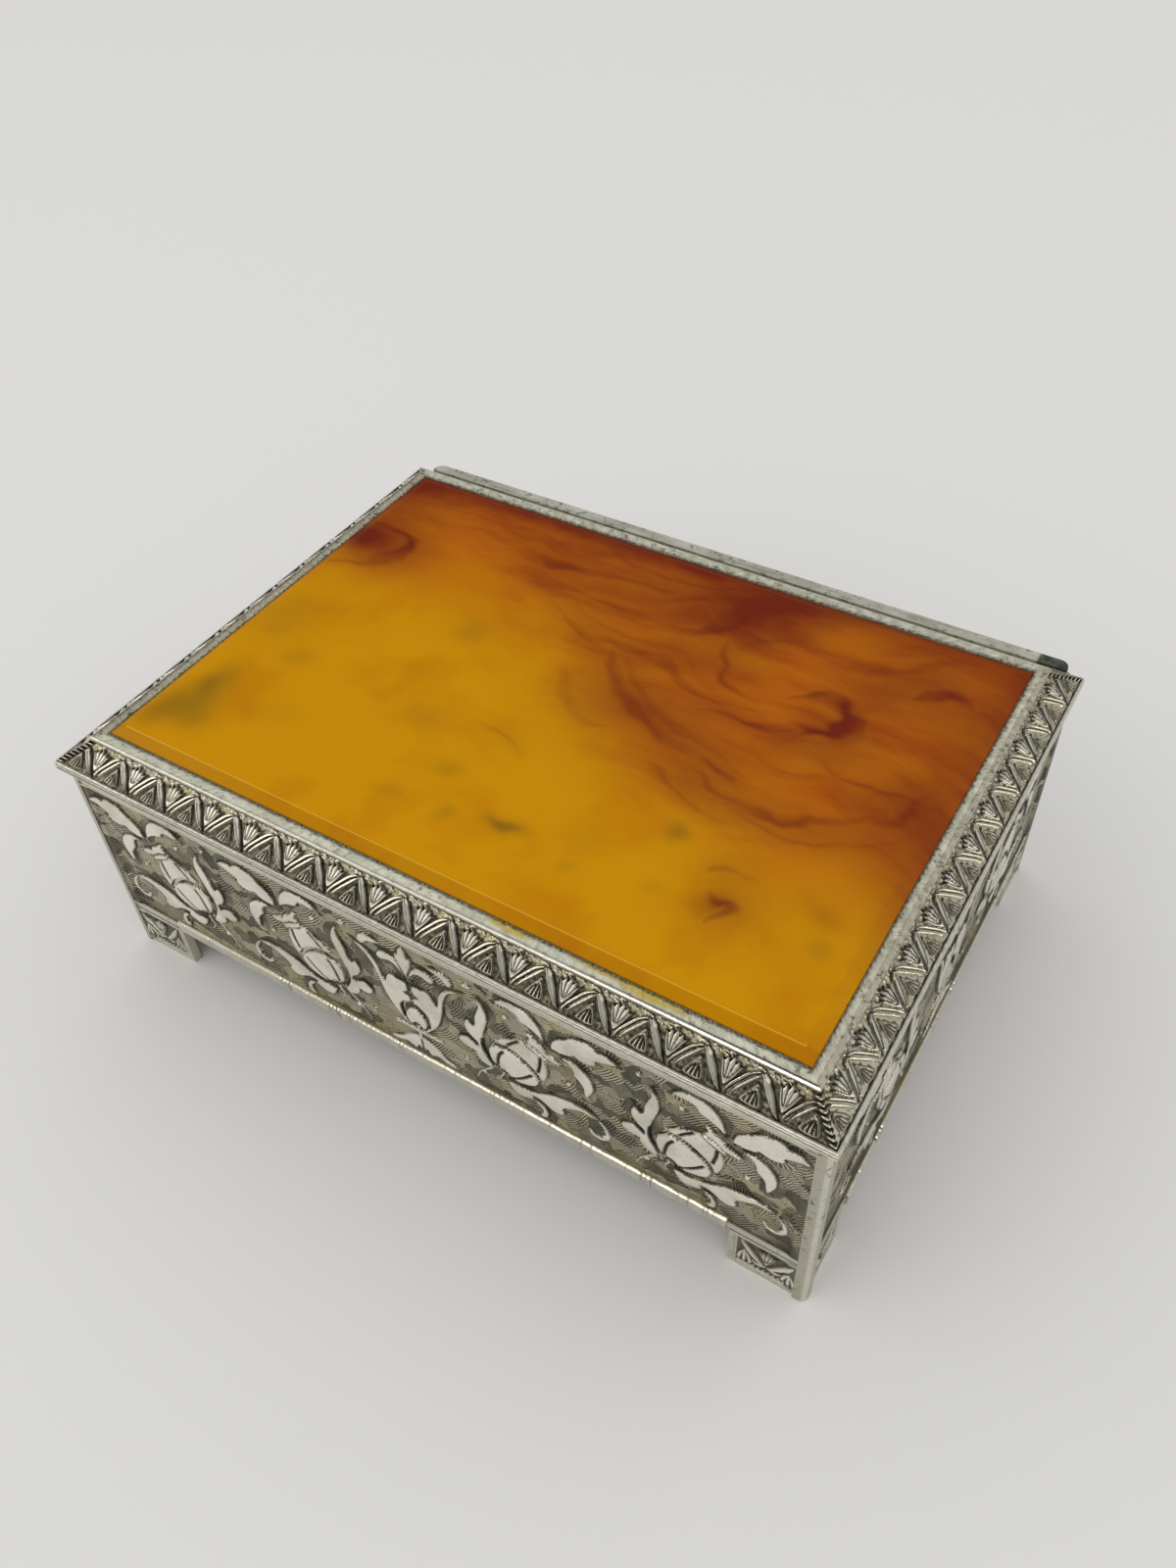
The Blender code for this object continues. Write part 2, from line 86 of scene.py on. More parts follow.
# Fineness of the hatching and of the carved grids
HATCH_PITCH = 0.44
COARSE = 1.0
WALL_STEP = 0.16 * COARSE
BAND_STEP = 0.115 * COARSE
FOOT_STEP = 0.12 * COARSE
BEZEL_STEP = 0.16 * COARSE
SLAB_STEP = 0.42 * COARSE
# How far a sheet's ground lies over the box's own face
LIFT = 0.10
SIDES = ("front", "right", "back", "left")


# ---- Shapes on a flat field

def unit(values):
    return np.clip(values, 0, 1)


def bell(away, width):
    """1 in the middle, and a smooth fall to both sides."""
    return np.exp(-((away / width) ** 2))


class Relief:
    """Heights of a field's points in mm, raised and cut shape by shape, and what tools and age left there,
    with some painted shade.

    Tarnish, polish and shade run from 0 to 1. Flow is the way across the hatching in mm. On the mouldings it
    marks what is brushed instead, and on the bezel smears of glue.
    """

    def __init__(self, along, up, shade=0.0):
        self.x = along
        self.y = up
        self.height = np.zeros_like(along)
        self.tarnish = np.zeros_like(along)
        self.polish = np.zeros_like(along)
        self.shade = np.full_like(along, shade)
        self.flow = np.zeros_like(along)
        self.gap = np.full_like(along, np.inf)

    def fill(self, where, **marks):
        """Gives the points of a mask new values."""
        for name, values in marks.items():
            setattr(self, name, np.where(where, values, getattr(self, name)))

    def darken(self, tarnish):
        self.tarnish = np.maximum(self.tarnish, tarnish)

    def near(self, points, reach, at):
        """Indices of the points near a shape, and their places from its own origin."""
        low = points.min(0) - reach + at
        high = points.max(0) + reach + at
        inside = (self.x > low[0]) & (self.x < high[0]) & (self.y > low[1]) & (self.y < high[1])
        here = np.flatnonzero(inside)
        return here, self.x[here] - at[0], self.y[here] - at[1]

    def raise_to(self, here, inside, face, share, ring):
        """Lifts the inside to a face, polished by share, and darkens a ring about it."""
        self.height[here] = np.where(inside, np.maximum(self.height[here], face), self.height[here])
        self.polish[here] = np.where(inside, np.maximum(self.polish[here], share), self.polish[here])
        kept = np.where(inside, self.tarnish[here] * (1 - share), self.tarnish[here])
        self.tarnish[here] = np.maximum(kept, ring)

    def leaf(self, outline, rise, edge=0.2, crown=0.05, line=0.9, at=(0, 0), strokes=0.0):
        """A leaf with a flat polished face in an uneven dark line, and hatching square to its outline."""
        loop = smooth_line(outline, closed=True)
        here, x, y = self.near(loop, max(0.7, strokes + 0.2), np.array(at, float))
        depth, along = depth_inside(x, y, loop)
        share = unit(depth / edge)
        face = rise * np.sqrt(1 - (1 - share) ** 2) + crown * unit(depth / 1.2)
        self.polish[here] *= unit(-depth / 0.12)
        uneven = 0.62 + 0.38 * np.sin(0.9 * along + 3 * np.sin(0.23 * along + at[0]))
        ring = line * uneven * bell(depth + 0.1, 0.15)
        self.raise_to(here, depth > 0, face, share, ring)
        width = strokes * (0.55 + 0.45 * np.sin(0.7 * along + 1.0 + at[0]))
        close = (depth <= 0) & (-depth < self.gap[here]) & (-depth < width)
        self.gap[here] = np.where(depth <= 0, np.minimum(self.gap[here], -depth), 0)
        self.flow[here] = np.where(close, along, self.flow[here])
        side = 0.5 + 0.5 * np.sin(0.5 * along + 2.1 + at[0])
        self.shade[here] = np.where(close, 0.25 + 0.6 * side, self.shade[here])

    def rib(self, points, radii, rise, at=(0, 0), closed=False, line=0.45, base=0.0):
        """A rounded rib along a line, its half width changing from end to end."""
        path = smooth_line(points, closed)
        here, x, y = self.near(path, max(radii) + 0.4, np.array(at, float))
        away, radius = distance_to_line(x, y, path, radii)
        share = unit(away / radius)
        face = base + rise * np.sqrt(unit(1 - share**2))
        higher = (away < radius) & (face > self.height[here])
        ring = np.where(face < self.height[here], 0, line * bell(away - radius, 0.1))
        self.raise_to(here, higher, face, 1 - share**2, ring)

    def groove(self, points, width, depth, at=(0, 0), dark=1.0):
        path = smooth_line(points, closed=False)
        here, x, y = self.near(path, 3 * width, np.array(at, float))
        away, _ = distance_to_line(x, y, path, (1, 1))
        cut = np.exp(-((away / width) ** 4))
        self.height[here] -= depth * cut
        self.tarnish[here] = np.maximum(self.tarnish[here], dark * cut)
        self.polish[here] *= 1 - cut

    def pearl(self, centre, radius, rise, at=(0, 0)):
        self.rib([centre, (centre[0] + 0.02, centre[1])], (radius, radius), rise, at)


def smooth_line(points, closed, steps=4):
    """A smooth line through the points, as a finer list of points."""
    p = np.array(points, float)
    if closed:
        before, after, later = np.roll(p, 1, 0), np.roll(p, -1, 0), np.roll(p, -2, 0)
    else:
        before = np.vstack([p[:1], p[:-2]])
        after = p[1:]
        later = np.vstack([p[2:], p[-1:]])
        p, last = p[:-1], p[-1:]
    shares = np.arange(steps)[None, :, None] / steps
    a, b, c, d = (q[:, None, :] for q in (before, p, after, later))
    line = b + shares * (c - a) / 2
    line = line + shares**2 * (a - 2.5 * b + 2 * c - d / 2)
    line = line + shares**3 * (1.5 * (b - c) + (d - a) / 2)
    line = line.reshape(-1, 2)
    return line if closed else np.vstack([line, last])


def to_segment(x, y, ax, ay, bx, by):
    """Where along a segment each point is nearest, from 0 to 1, and its squared distance there."""
    dx, dy = bx - ax, by - ay
    share = unit(((x - ax) * dx + (y - ay) * dy) / (dx * dx + dy * dy + 1e-12))
    return share, (x - ax - share * dx) ** 2 + (y - ay - share * dy) ** 2


def depth_inside(x, y, loop):
    """How deep each point lies in a closed line, negative outside, and where along the line it is nearest."""
    nearest = np.full(x.shape, np.inf)
    along = np.zeros(x.shape)
    inside = np.zeros(x.shape, bool)
    run = 0.0
    for (ax, ay), (bx, by) in zip(loop, np.roll(loop, -1, 0)):
        share, away = to_segment(x, y, ax, ay, bx, by)
        length = math.hypot(bx - ax, by - ay)
        along = np.where(away < nearest, run + share * length, along)
        nearest = np.minimum(nearest, away)
        run += length
        if ay != by:
            inside ^= ((ay > y) != (by > y)) & (x < ax + (y - ay) * (bx - ax) / (by - ay))
    return np.where(inside, 1, -1) * np.sqrt(nearest), along


def distance_to_line(x, y, path, radii):
    """Distance of each point from an open line, and the line's half width where it is nearest."""
    nearest = np.full(x.shape, np.inf)
    radius = np.full(x.shape, float(radii[0]))
    ends = np.linspace(0, 1, len(path))
    widths = np.interp(ends, np.linspace(0, 1, len(radii)), radii)
    for i in range(len(path) - 1):
        share, away = to_segment(x, y, *path[i], *path[i + 1])
        width = widths[i] + share * (widths[i + 1] - widths[i])
        closer = away / width**2 < nearest / radius**2
        nearest = np.where(closer, away, nearest)
        radius = np.where(closer, width, radius)
    return np.sqrt(nearest), radius


def wobble(x, y, size, seed):
    """Gentle unevenness between about -1 and 1, with bumps of the given size."""
    random = np.random.default_rng(seed)
    total = np.zeros_like(x)
    for _ in range(7):
        angle = random.uniform(0, math.tau)
        pitch = size * random.uniform(0.6, 1.7)
        phase = random.uniform(0, math.tau)
        total += np.sin(math.tau * (x * math.cos(angle) + y * math.sin(angle)) / pitch + phase)
    return total / 3.5


def hatch(relief, size, seed):
    """Chases the ground in patches of curved parallel lines, some patches darker than others."""
    random = np.random.default_rng(seed)
    width, height = relief.x.max(), relief.y.max()
    nearest = np.full_like(relief.x, np.inf)
    x = relief.x + 0.5 * wobble(relief.x, relief.y, 2.5, seed + 1)
    y = relief.y + 0.5 * wobble(relief.x, relief.y, 2.5, seed + 2)
    for _ in range(round(width * height / size**2)):
        cx, cy = random.uniform(0, width), random.uniform(0, height)
        turn, bow = random.uniform(-0.9, 1.3), random.uniform(4, 14)
        tone = random.uniform(0, 0.95)
        away = (x - cx) ** 2 + (1.6 * (y - cy)) ** 2
        closer = away < nearest
        nearest = np.where(closer, away, nearest)
        arc = np.hypot(relief.x - cx + bow * math.sin(turn), relief.y - cy - bow * math.cos(turn))
        relief.fill(closer, flow=arc, shade=tone**1.6)


# ---- Wall ornament: outlines in mm, from the middle of a bud across and from the field's foot up

TALL_LEAF = [
    (-5.3, 24.3), (-4.4, 23.1), (-3.8, 21.1), (-4.0, 19.2), (-4.7, 16.7), (-5.2, 14.5), (-5.4, 12.8),
    (-5.2, 11.1), (-4.5, 9.5), (-4.0, 8.6), (-4.4, 8.0), (-5.3, 8.0), (-6.2, 8.5), (-6.9, 9.5),
    (-7.0, 10.4), (-8.1, 10.3), (-9.2, 10.7), (-9.7, 11.6), (-9.3, 12.4), (-8.1, 13.0), (-7.0, 12.5),
    (-6.2, 11.9), (-6.3, 13.0), (-7.2, 13.8), (-7.9, 14.8), (-8.2, 16.0), (-7.9, 17.3), (-7.4, 17.6),
    (-6.6, 16.8), (-6.2, 17.8), (-6.1, 19.2), (-5.6, 20.9), (-5.1, 22.5),
]
UPPER_CURL = [
    (-2.1, 25.9), (-0.8, 27.0), (0.6, 27.3), (2.2, 27.3), (3.6, 26.6), (4.7, 25.2), (5.3, 23.6),
    (5.4, 22.2), (4.7, 22.8), (3.9, 23.4), (2.9, 23.9), (1.8, 24.3), (1.2, 25.4), (0.0, 25.7),
    (-1.1, 25.6),
]
UPPER_LEAF = [
    (6.5, 21.6), (6.8, 23.2), (7.8, 24.5), (8.8, 25.2), (9.7, 26.2), (10.8, 26.7), (12.2, 27.0),
    (13.3, 26.7), (13.8, 26.1), (15.1, 26.2), (16.8, 25.4), (15.6, 24.7), (14.2, 24.1), (13.4, 23.6),
    (13.5, 22.8), (12.5, 22.1), (11.2, 22.0), (10.1, 22.4), (9.7, 21.9), (8.3, 21.4), (7.2, 21.4),
]
RIGHT_CURL = [
    (7.8, 20.3), (8.9, 20.6), (10.3, 20.4), (11.7, 19.5), (12.5, 18.4), (12.9, 16.7), (12.6, 15.0),
    (11.7, 13.4), (11.3, 14.5), (11.2, 15.6), (10.6, 16.7), (9.9, 17.5), (9.7, 18.7), (9.0, 19.8),
]
LOWER_LEAF = [
    (-1.7, 6.7), (0.0, 6.7), (1.9, 7.0), (3.6, 7.7), (5.3, 8.8), (6.9, 9.4), (8.9, 9.8), (11.1, 9.8),
    (13.3, 9.0), (11.7, 8.9), (10.4, 8.8), (9.2, 8.1), (8.2, 7.5), (7.5, 6.6), (7.8, 5.8), (7.3, 5.0),
    (6.4, 4.7), (5.4, 5.0), (4.4, 5.7), (3.5, 6.1), (2.4, 6.1), (2.6, 5.3), (1.7, 4.8), (0.6, 4.3),
    (-0.6, 4.6), (-1.3, 5.4),
]
SMALL_CURL = [
    (2.8, 5.1), (3.8, 5.0), (4.5, 4.3), (4.9, 3.2), (4.7, 2.0), (3.9, 1.6), (3.4, 2.1), (3.9, 2.9),
    (3.8, 3.8), (3.3, 4.4),
]
SCROLL = [(13.4, 8.4), (14.3, 7.2), (14.7, 5.8), (14.4, 4.6), (13.4, 3.9), (12.3, 4.1), (11.8, 5.0)]
BUD_DOME = [
    (-4.2, 13.4), (-3.1, 14.5), (-1.7, 14.9), (0.0, 14.6), (1.7, 13.8), (2.9, 12.7), (3.8, 11.3),
    (3.7, 10.0), (2.8, 8.9), (1.4, 8.2), (0.0, 7.9), (-1.0, 8.3), (-1.8, 9.1), (-2.8, 9.4), (-3.7, 9.8),
    (-4.2, 10.7), (-4.4, 12.0),
]
BUD_BACK = [
    (-2.7, 16.0), (-1.7, 17.3), (0.0, 18.5), (1.5, 19.3), (3.1, 19.2), (4.4, 18.1), (5.1, 17.0),
    (5.5, 15.3), (5.4, 13.6), (4.9, 12.0), (4.3, 11.3), (3.5, 13.0), (2.1, 14.3), (0.4, 15.4),
    (-1.4, 15.8),
]
BUD_CROWN = [
    (2.6, 22.0), (3.5, 21.7), (4.2, 20.9), (5.3, 20.3), (5.8, 19.3), (7.2, 18.9), (8.0, 18.1),
    (6.7, 17.9), (5.4, 18.3), (4.2, 19.3), (2.6, 20.0), (3.0, 21.0),
]
BUD_CAP = [(2.6, 19.6), (4.2, 18.9), (5.8, 17.8), (5.4, 17.3), (3.9, 18.1), (2.5, 19.0)]
BUD_GROOVES = [
    [(-1.8, 14.1), (-2.4, 13.1), (-2.8, 11.7), (-3.1, 9.6)],
    [(2.7, 11.7), (1.5, 10.2), (0.1, 8.8), (-1.1, 8.0)],
    [(1.0, 18.6), (0.0, 17.5), (-0.9, 16.3)],
    [(4.5, 17.3), (4.3, 15.3), (3.9, 13.5)],
]
BUD_ARC = [(-3.0, 15.4), (-1.4, 15.6), (0.3, 15.2), (2.0, 14.1), (3.3, 12.8), (4.3, 11.0)]
UNDER_BUD = [
    (-5.3, 14.5), (-5.4, 12.3), (-4.9, 10.6), (-3.8, 9.2), (-2.5, 8.4), (-1.1, 7.5), (0.6, 7.3),
    (2.5, 7.8),
]
BUD_STEMS = [
    [(-3.6, 8.9), (-4.7, 7.3), (-5.8, 6.0), (-6.9, 4.5), (-7.6, 2.6)],
    [(-2.8, 8.9), (-2.5, 7.5), (-3.1, 6.1), (-2.2, 4.6)],
]
UNIT_PEARLS = [(-0.7, 23.1), (8.8, 14.3), (-6.9, 25.9), (14.3, 5.1), (-5.8, 5.6)]

# Centre motif: its right half
CENTRE_FLEUR = [
    (0.0, 27.2), (0.6, 26.6), (0.8, 25.9), (0.9, 25.4), (1.4, 25.1), (1.3, 24.2), (1.0, 23.2),
    (0.6, 22.1), (0.2, 20.9), (0.0, 19.9),
]
CENTRE_INNER = [(0.0, 13.0), (0.8, 12.6), (1.4, 11.8), (1.9, 10.6), (1.8, 9.3), (1.1, 8.4), (0.0, 9.4)]
CENTRE_LOBE = [
    (0.5, 18.8), (1.7, 18.8), (3.0, 19.3), (3.8, 18.7), (4.3, 17.4), (4.6, 16.7), (4.9, 17.8),
    (5.2, 19.5), (5.9, 21.1), (7.3, 22.5), (8.7, 23.1), (9.9, 23.6), (8.7, 22.7), (7.3, 21.6),
    (6.5, 20.0), (5.9, 18.1), (5.5, 15.9), (4.9, 13.4), (4.1, 11.3), (3.0, 9.6), (1.8, 8.1), (0.9, 8.0),
    (1.7, 8.9), (2.3, 10.3), (2.4, 11.7), (1.9, 13.0), (1.0, 13.8), (0.25, 14.4), (0.3, 15.6),
    (1.3, 16.1), (0.4, 17.0),
]
CENTRE_CURL = [
    (0.2, 20.5), (0.6, 22.0), (1.4, 23.2), (2.6, 24.0), (3.7, 24.2), (4.6, 23.6), (5.0, 22.7),
    (4.4, 22.0), (3.4, 22.3), (2.7, 22.6), (1.7, 22.2), (0.9, 21.3),
]
OUTER_CURL = [
    (3.9, 25.5), (5.3, 25.9), (6.9, 25.9), (7.8, 25.3), (8.2, 24.3), (7.8, 23.5), (7.0, 23.7),
    (6.3, 24.6), (5.2, 25.0),
]
CENTRE_FAN = [
    (0.2, 5.4), (1.4, 5.3), (2.6, 4.5), (3.9, 3.2), (6.2, 1.7), (4.5, 1.6), (3.1, 2.3), (2.1, 2.0),
    (1.4, 1.6), (0.7, 2.8), (0.2, 1.7),
]
CENTRE_ARCH = [(0.0, 14.4), (1.2, 13.7), (2.1, 12.7), (2.4, 11.4), (2.2, 9.6)]
CENTRE_PEARLS = [(11.0, 25.9), (8.4, 6.4), (4.4, 2.3)]

LEAF_RISE = 0.36
UNITS_LONG = (17.4, 44.1)
UNITS_SHORT = (21.5,)


def bud_unit(relief, at):
    """The bud in its shell, with the leaves and curls round it."""
    for stem in BUD_STEMS:
        relief.rib(stem, (0.35, 0.25, 0.15), 0.2, at)
    for outline in (TALL_LEAF, UPPER_CURL, UPPER_LEAF, RIGHT_CURL, LOWER_LEAF, SMALL_CURL):
        relief.leaf(outline, LEAF_RISE, at=at, strokes=1.5)
    relief.rib(SCROLL, (0.2, 0.5, 0.5, 0.35), 0.24, at)
    relief.leaf(BUD_BACK, 0.32, at=at)
    relief.leaf(BUD_DOME, 0.40, crown=0.12, at=at)
    relief.leaf(BUD_CROWN, LEAF_RISE, at=at)
    relief.leaf(BUD_CAP, 0.38, edge=0.15, at=at)
    relief.groove(BUD_ARC, 0.34, 0.26, at)
    for groove in BUD_GROOVES:
        relief.groove(groove, 0.26, 0.22, at)
    relief.groove(UNDER_BUD, 0.26, 0.08, at, dark=0.8)
    for pearl in UNIT_PEARLS:
        relief.pearl(pearl, 0.5, 0.4, at)


def mirrored(half):
    """A closed outline from its right half, which starts and ends in the middle."""
    return half + [(-x, y) for x, y in half[-2:0:-1]]


def centre_motif(relief):
    """The palmette between two lobes, over a foot bar and a fan. The field is folded at its middle."""
    relief.leaf(CENTRE_LOBE, LEAF_RISE, strokes=1.2)
    relief.leaf(mirrored(CENTRE_INNER), 0.33)
    relief.leaf(CENTRE_CURL, LEAF_RISE)
    relief.leaf(OUTER_CURL, 0.3)
    relief.leaf(mirrored(CENTRE_FLEUR), 0.4)
    relief.leaf(CENTRE_FAN, 0.28)
    relief.groove(CENTRE_ARCH, 0.3, 0.22)
    relief.rib([(-2, 7.25), (2.0, 7.25), (4.2, 7.1)], (0.45, 0.45, 0.2), 0.34)
    relief.rib([(0, 5.2), (0, 6.2), (0, 8.2)], (0.5, 0.35, 0.3), 0.3)
    for pearl in CENTRE_PEARLS:
        relief.pearl(pearl, 0.5, 0.4)


def plain_strip(relief, inside):
    """Makes a flush, rubbed border where the field ends inside its panel."""
    relief.fill(~inside, height=PANEL_DEPTH - LIFT, polish=0.75, shade=0.2, flow=0, tarnish=0.15)


def wall_relief(along, up, units, reach):
    relief = Relief(np.abs(along), up)
    ground = wobble(along, up, 3.0, 11)
    hatch(relief, 2.6, 12)
    centre_motif(relief)
    for middle in units:
        bud_unit(relief, (middle, 0))
    relief.height += 0.015 * ground * (1 - relief.polish)
    edge = np.minimum(np.minimum(up, WALL_FIELD[1] - WALL_FIELD[0] - up), reach - np.abs(along))
    relief.darken(0.9 * bell(edge, 0.2))
    corner = np.hypot((reach - np.abs(along)) / 9, up / 5)
    relief.shade = np.maximum(relief.shade, 0.85 * unit(1.3 - corner))
    plain_strip(relief, (up > 0) & (up < WALL_FIELD[1] - WALL_FIELD[0]))
    return relief


# ---- Lid band and feet: ribs on a slope

TULIP_PITCH_WISH = 7.53
TULIP_PLATE = [
    (-0.05, 1.05), (-0.32, 1.35), (-0.66, 1.9), (-1.0, 2.7), (-1.24, 3.5), (-1.45, 4.2), (-1.0, 3.75),
    (-0.62, 4.4), (-0.3, 3.85), (0.08, 4.7), (0.42, 3.85), (0.8, 4.35), (1.06, 3.7), (1.75, 4.15),
    (1.38, 3.5), (1.15, 3.0), (0.88, 2.35), (0.52, 1.7), (0.2, 1.2),
]
TULIP_SLOTS = [
    [(-0.28, 1.95), (-0.66, 2.8), (-0.96, 3.6)],
    [(-0.1, 1.9), (-0.22, 2.8), (-0.3, 3.7)],
    [(0.1, 1.9), (0.26, 2.8), (0.4, 3.7)],
    [(0.3, 2.0), (0.7, 2.8), (1.02, 3.6)],
]
SHELL = [
    (0.0, 3.0), (0.3, 2.75), (0.55, 2.2), (0.9, 1.5), (1.15, 0.7), (1.0, 0.3), (0.5, 0.15), (0.0, 0.1),
    (-0.6, 0.15), (-1.25, 0.25), (-1.5, 0.4), (-1.3, 1.0), (-0.85, 1.8), (-0.4, 2.5),
]
SHELL_SLOTS = [
    [(-0.3, 1.9), (-0.62, 1.3), (-0.85, 0.55)],
    [(-0.08, 2.1), (-0.2, 1.3), (-0.28, 0.45)],
    [(0.16, 2.0), (0.25, 1.2), (0.32, 0.5)],
    [(0.38, 1.7), (0.62, 1.1), (0.78, 0.6)],
]
BAND_GRIME = 0.95
# Grains in one pitch of the band, and where their ground starts
CRUMBS = 34
CRUMBS_FOOT = 3.9


def brushed(relief, before, share):
    """Marks what has risen since as brushed, for the mouldings' finish."""
    relief.flow = np.maximum(relief.flow, share * unit((relief.height - before) / 0.1))


def facing(points, way, scale=1.0):
    """A shape's points, mirrored where way is -1."""
    return [(x * scale * way, y * scale) for x, y in points]


def tulip(relief, at, way=1, scale=1.0):
    """A tulip with five tips and four slots down its cup."""
    relief.leaf(facing(TULIP_PLATE, way, scale), 0.5, crown=0, line=1.0, at=at)
    for slot in TULIP_SLOTS:
        relief.groove(facing(slot, way, scale), 0.08 * scale, 0.12, at, dark=0.6)


def shell(relief, at, way=1):
    """The ribbed shell that hangs under each arch, darkened there with painted shade."""
    relief.leaf(facing(SHELL, way), 0.24, edge=0.3, crown=0, at=at)
    for slot in SHELL_SLOTS:
        relief.groove(facing(slot, way), 0.1, 0.15, at, dark=0.9)
    relief.pearl((0, 2.8), 0.2, 0.36, at)
    # Painted shade under the arch: dark tarnish and less polish round the shell and its foot.
    under = (np.abs(relief.x - at[0]) < 1.5) & (relief.y < 3.0)
    relief.fill(under, tarnish=np.maximum(relief.tarnish, 0.3), polish=0.55 * relief.polish)


def arch(relief, left, right, way):
    """Two leaves that lean together between tulips: one folded, with two ridges, and one broad."""
    apex = (left + right) / 2
    half = (right - left) / 2

    def place(share, up):
        return (apex + way * half * share, up)

    outer = [(-0.93, 0.5), (-0.8, 1.5), (-0.6, 2.5), (-0.36, 3.6), (-0.12, 4.15), (0.02, 4.2)]
    inner = [(-0.72, 0.6), (-0.55, 1.6), (-0.38, 2.4), (-0.2, 3.2), (-0.06, 3.8), (0.04, 4.1)]
    for line, radii in ((outer, (0.1, 0.24, 0.26, 0.22, 0.14)), (inner, (0.1, 0.2, 0.22, 0.2, 0.1))):
        relief.rib([place(*p) for p in line], radii, 0.44)
    middle = [place((a + c) / 2, (b + d) / 2) for (a, b), (c, d) in zip(outer, inner)]
    relief.groove(middle, 0.12, 0.15, dark=1.0)
    broad = [
        (0.04, 4.2), (0.16, 4.25), (0.36, 3.6), (0.6, 2.5), (0.82, 1.1), (0.97, 0.1), (0.78, 0.5), (0.5, 1.5),
        (0.24, 2.7), (0.08, 3.6),
    ]
    before = relief.height.copy()
    relief.leaf([place(*p) for p in broad], 0.3, edge=0.35, crown=0.06)
    brushed(relief, before, 0.9)
    ridge = [(0.03, 4.15), (0.14, 3.5), (0.3, 2.6), (0.52, 1.6), (0.8, 0.5)]
    relief.rib([place(*p) for p in ridge], (0.1, 0.15, 0.15, 0.12, 0.06), 0.2, base=0.26, line=0)
    tip = [(0.1, 4.25), (0.2, 4.0), (0.3, 3.75)]
    relief.rib([place(*p) for p in tip], (0.1, 0.24, 0.12), 0.2, base=0.3, line=0)


def crumble(relief, pitch):
    """Small grains on the ground over the leaves."""
    random = np.random.default_rng(5)
    for _ in range(CRUMBS):
        x, y = random.uniform(0, pitch), random.uniform(4.2, 4.95)
        turn, long = random.uniform(-0.6, 0.6), random.uniform(0.05, 0.3)
        dx, dy = long * math.cos(turn), long * math.sin(turn)
        radii = (0.06, random.uniform(0.09, 0.16), 0.06)
        relief.rib([(x - dx, y - dy), (x, y), (x + dx, y + dy)], radii, 0.25, line=0.35)


def band_relief(along, up, half, way, grime):
    """Tulips between leaning leaves. The tulips stop short of the corners."""
    count = 2 * round(half / TULIP_PITCH_WISH)
    pitch = 2 * half / (count + 1)
    folded = (along + half) % pitch
    rough = wobble(along, up, 0.8, 27)
    relief = Relief(folded, up, BAND_GRIME)
    # The last argument sets the ground's darkness for this side: partly dirt, partly painted shade.
    relief.shade = grime * np.where(up > CRUMBS_FOOT, 0.6, BAND_GRIME) + 0.15 * rough
    relief.height = 0.05 * rough + 0.1 * unit(up - CRUMBS_FOOT)
    crumble(relief, pitch)
    shell(relief, (pitch / 2, 0), way)
    arch(relief, 0, pitch, way)
    before = relief.height.copy()
    for at in (0, pitch):
        tulip(relief, (at, 0), way)
    brushed(relief, before, 1.0)
    return relief


# ---- Carved grids laid on the box

def on_side(side, along, out, up):
    """Places in metres of points given along a side, outward from the box's middle line, and up."""
    turned = {"front": (along, -out), "right": (out, along), "back": (-along, out), "left": (-out, -along)}
    x, y = turned[side]
    return np.stack([x, y + CENTRE_Y, up], -1) * MM


def half_of(side, halves):
    """A side's half length and the box's half depth across it."""
    return halves if side in ("front", "back") else halves[::-1]


def extruded(bm, edges):
    """Extrudes edges, and gives the new points and the edges between them."""
    grown = bmesh.ops.extrude_edge_only(bm, edges=edges)["geom"]
    verts = [item for item in grown if isinstance(item, bmesh.types.BMVert)]
    own = set(verts)
    return verts, [item for item in grown if isinstance(item, bmesh.types.BMEdge) and set(item.verts) <= own]


def grid_body(size, step):
    """A grid with about the given step, a skirt and a flat back, 1 wide and 1 high until it is carved."""
    columns, rows = (max(2, round((high - low) / step)) for low, high in (size[:2], size[2:]))
    bm = bmesh.new()
    bmesh.ops.create_grid(bm, x_segments=columns, y_segments=rows, size=0.5)
    rim = [edge for edge in bm.edges if edge.is_boundary]
    low, hem = extruded(bm, rim)
    bmesh.ops.translate(bm, verts=low, vec=(0, 0, -1))
    bmesh.ops.edgeloop_fill(bm, edges=hem)
    bmesh.ops.recalc_face_normals(bm, faces=bm.faces)
    for edge in rim + hem:
        edge.smooth = False
    return bm


def add_object(name, data):
    added = bpy.data.objects.new(name, data)
    bpy.context.scene.collection.objects.link(added)
    return added


def to_mesh(name, bm, finish):
    mesh = bpy.data.meshes.new(name)
    bm.to_mesh(mesh)
    bm.free()
    mesh.materials.append(finish)
    return mesh


def add_piece(name, bm, body, finish):
    mesh = to_mesh(name, bm, finish)
    mesh.polygons.foreach_set("use_smooth", [True] * len(mesh.polygons))
    piece = add_object(name, mesh)
    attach(piece, body)
    return piece


def points_of(mesh):
    co = np.empty(len(mesh.vertices) * 3, np.float32)
    mesh.vertices.foreach_get("co", co)
    return co.reshape(-1, 3)


def carve(piece, size, shape, lay, back):
    """Moves the piece's grid to its place: shape gives its relief, and lay the place of each point."""
    mesh = piece.data
    co = points_of(mesh).astype(float)
    across = (co[:, 0] + 0.5) * (size[1] - size[0]) + size[0]
    up = (co[:, 1] + 0.5) * (size[3] - size[2]) + size[2]
    top = co[:, 2] > -0.5
    relief = shape(across, up)
    height = np.where(top, relief.height, -back)
    mesh.vertices.foreach_set("co", lay(across, up, height).astype(np.float32).ravel())
    for name in ("tarnish", "polish", "shade"):
        add_marks(mesh, name, unit(getattr(relief, name)))
    add_marks(mesh, "flow", relief.flow)
    mesh.update()


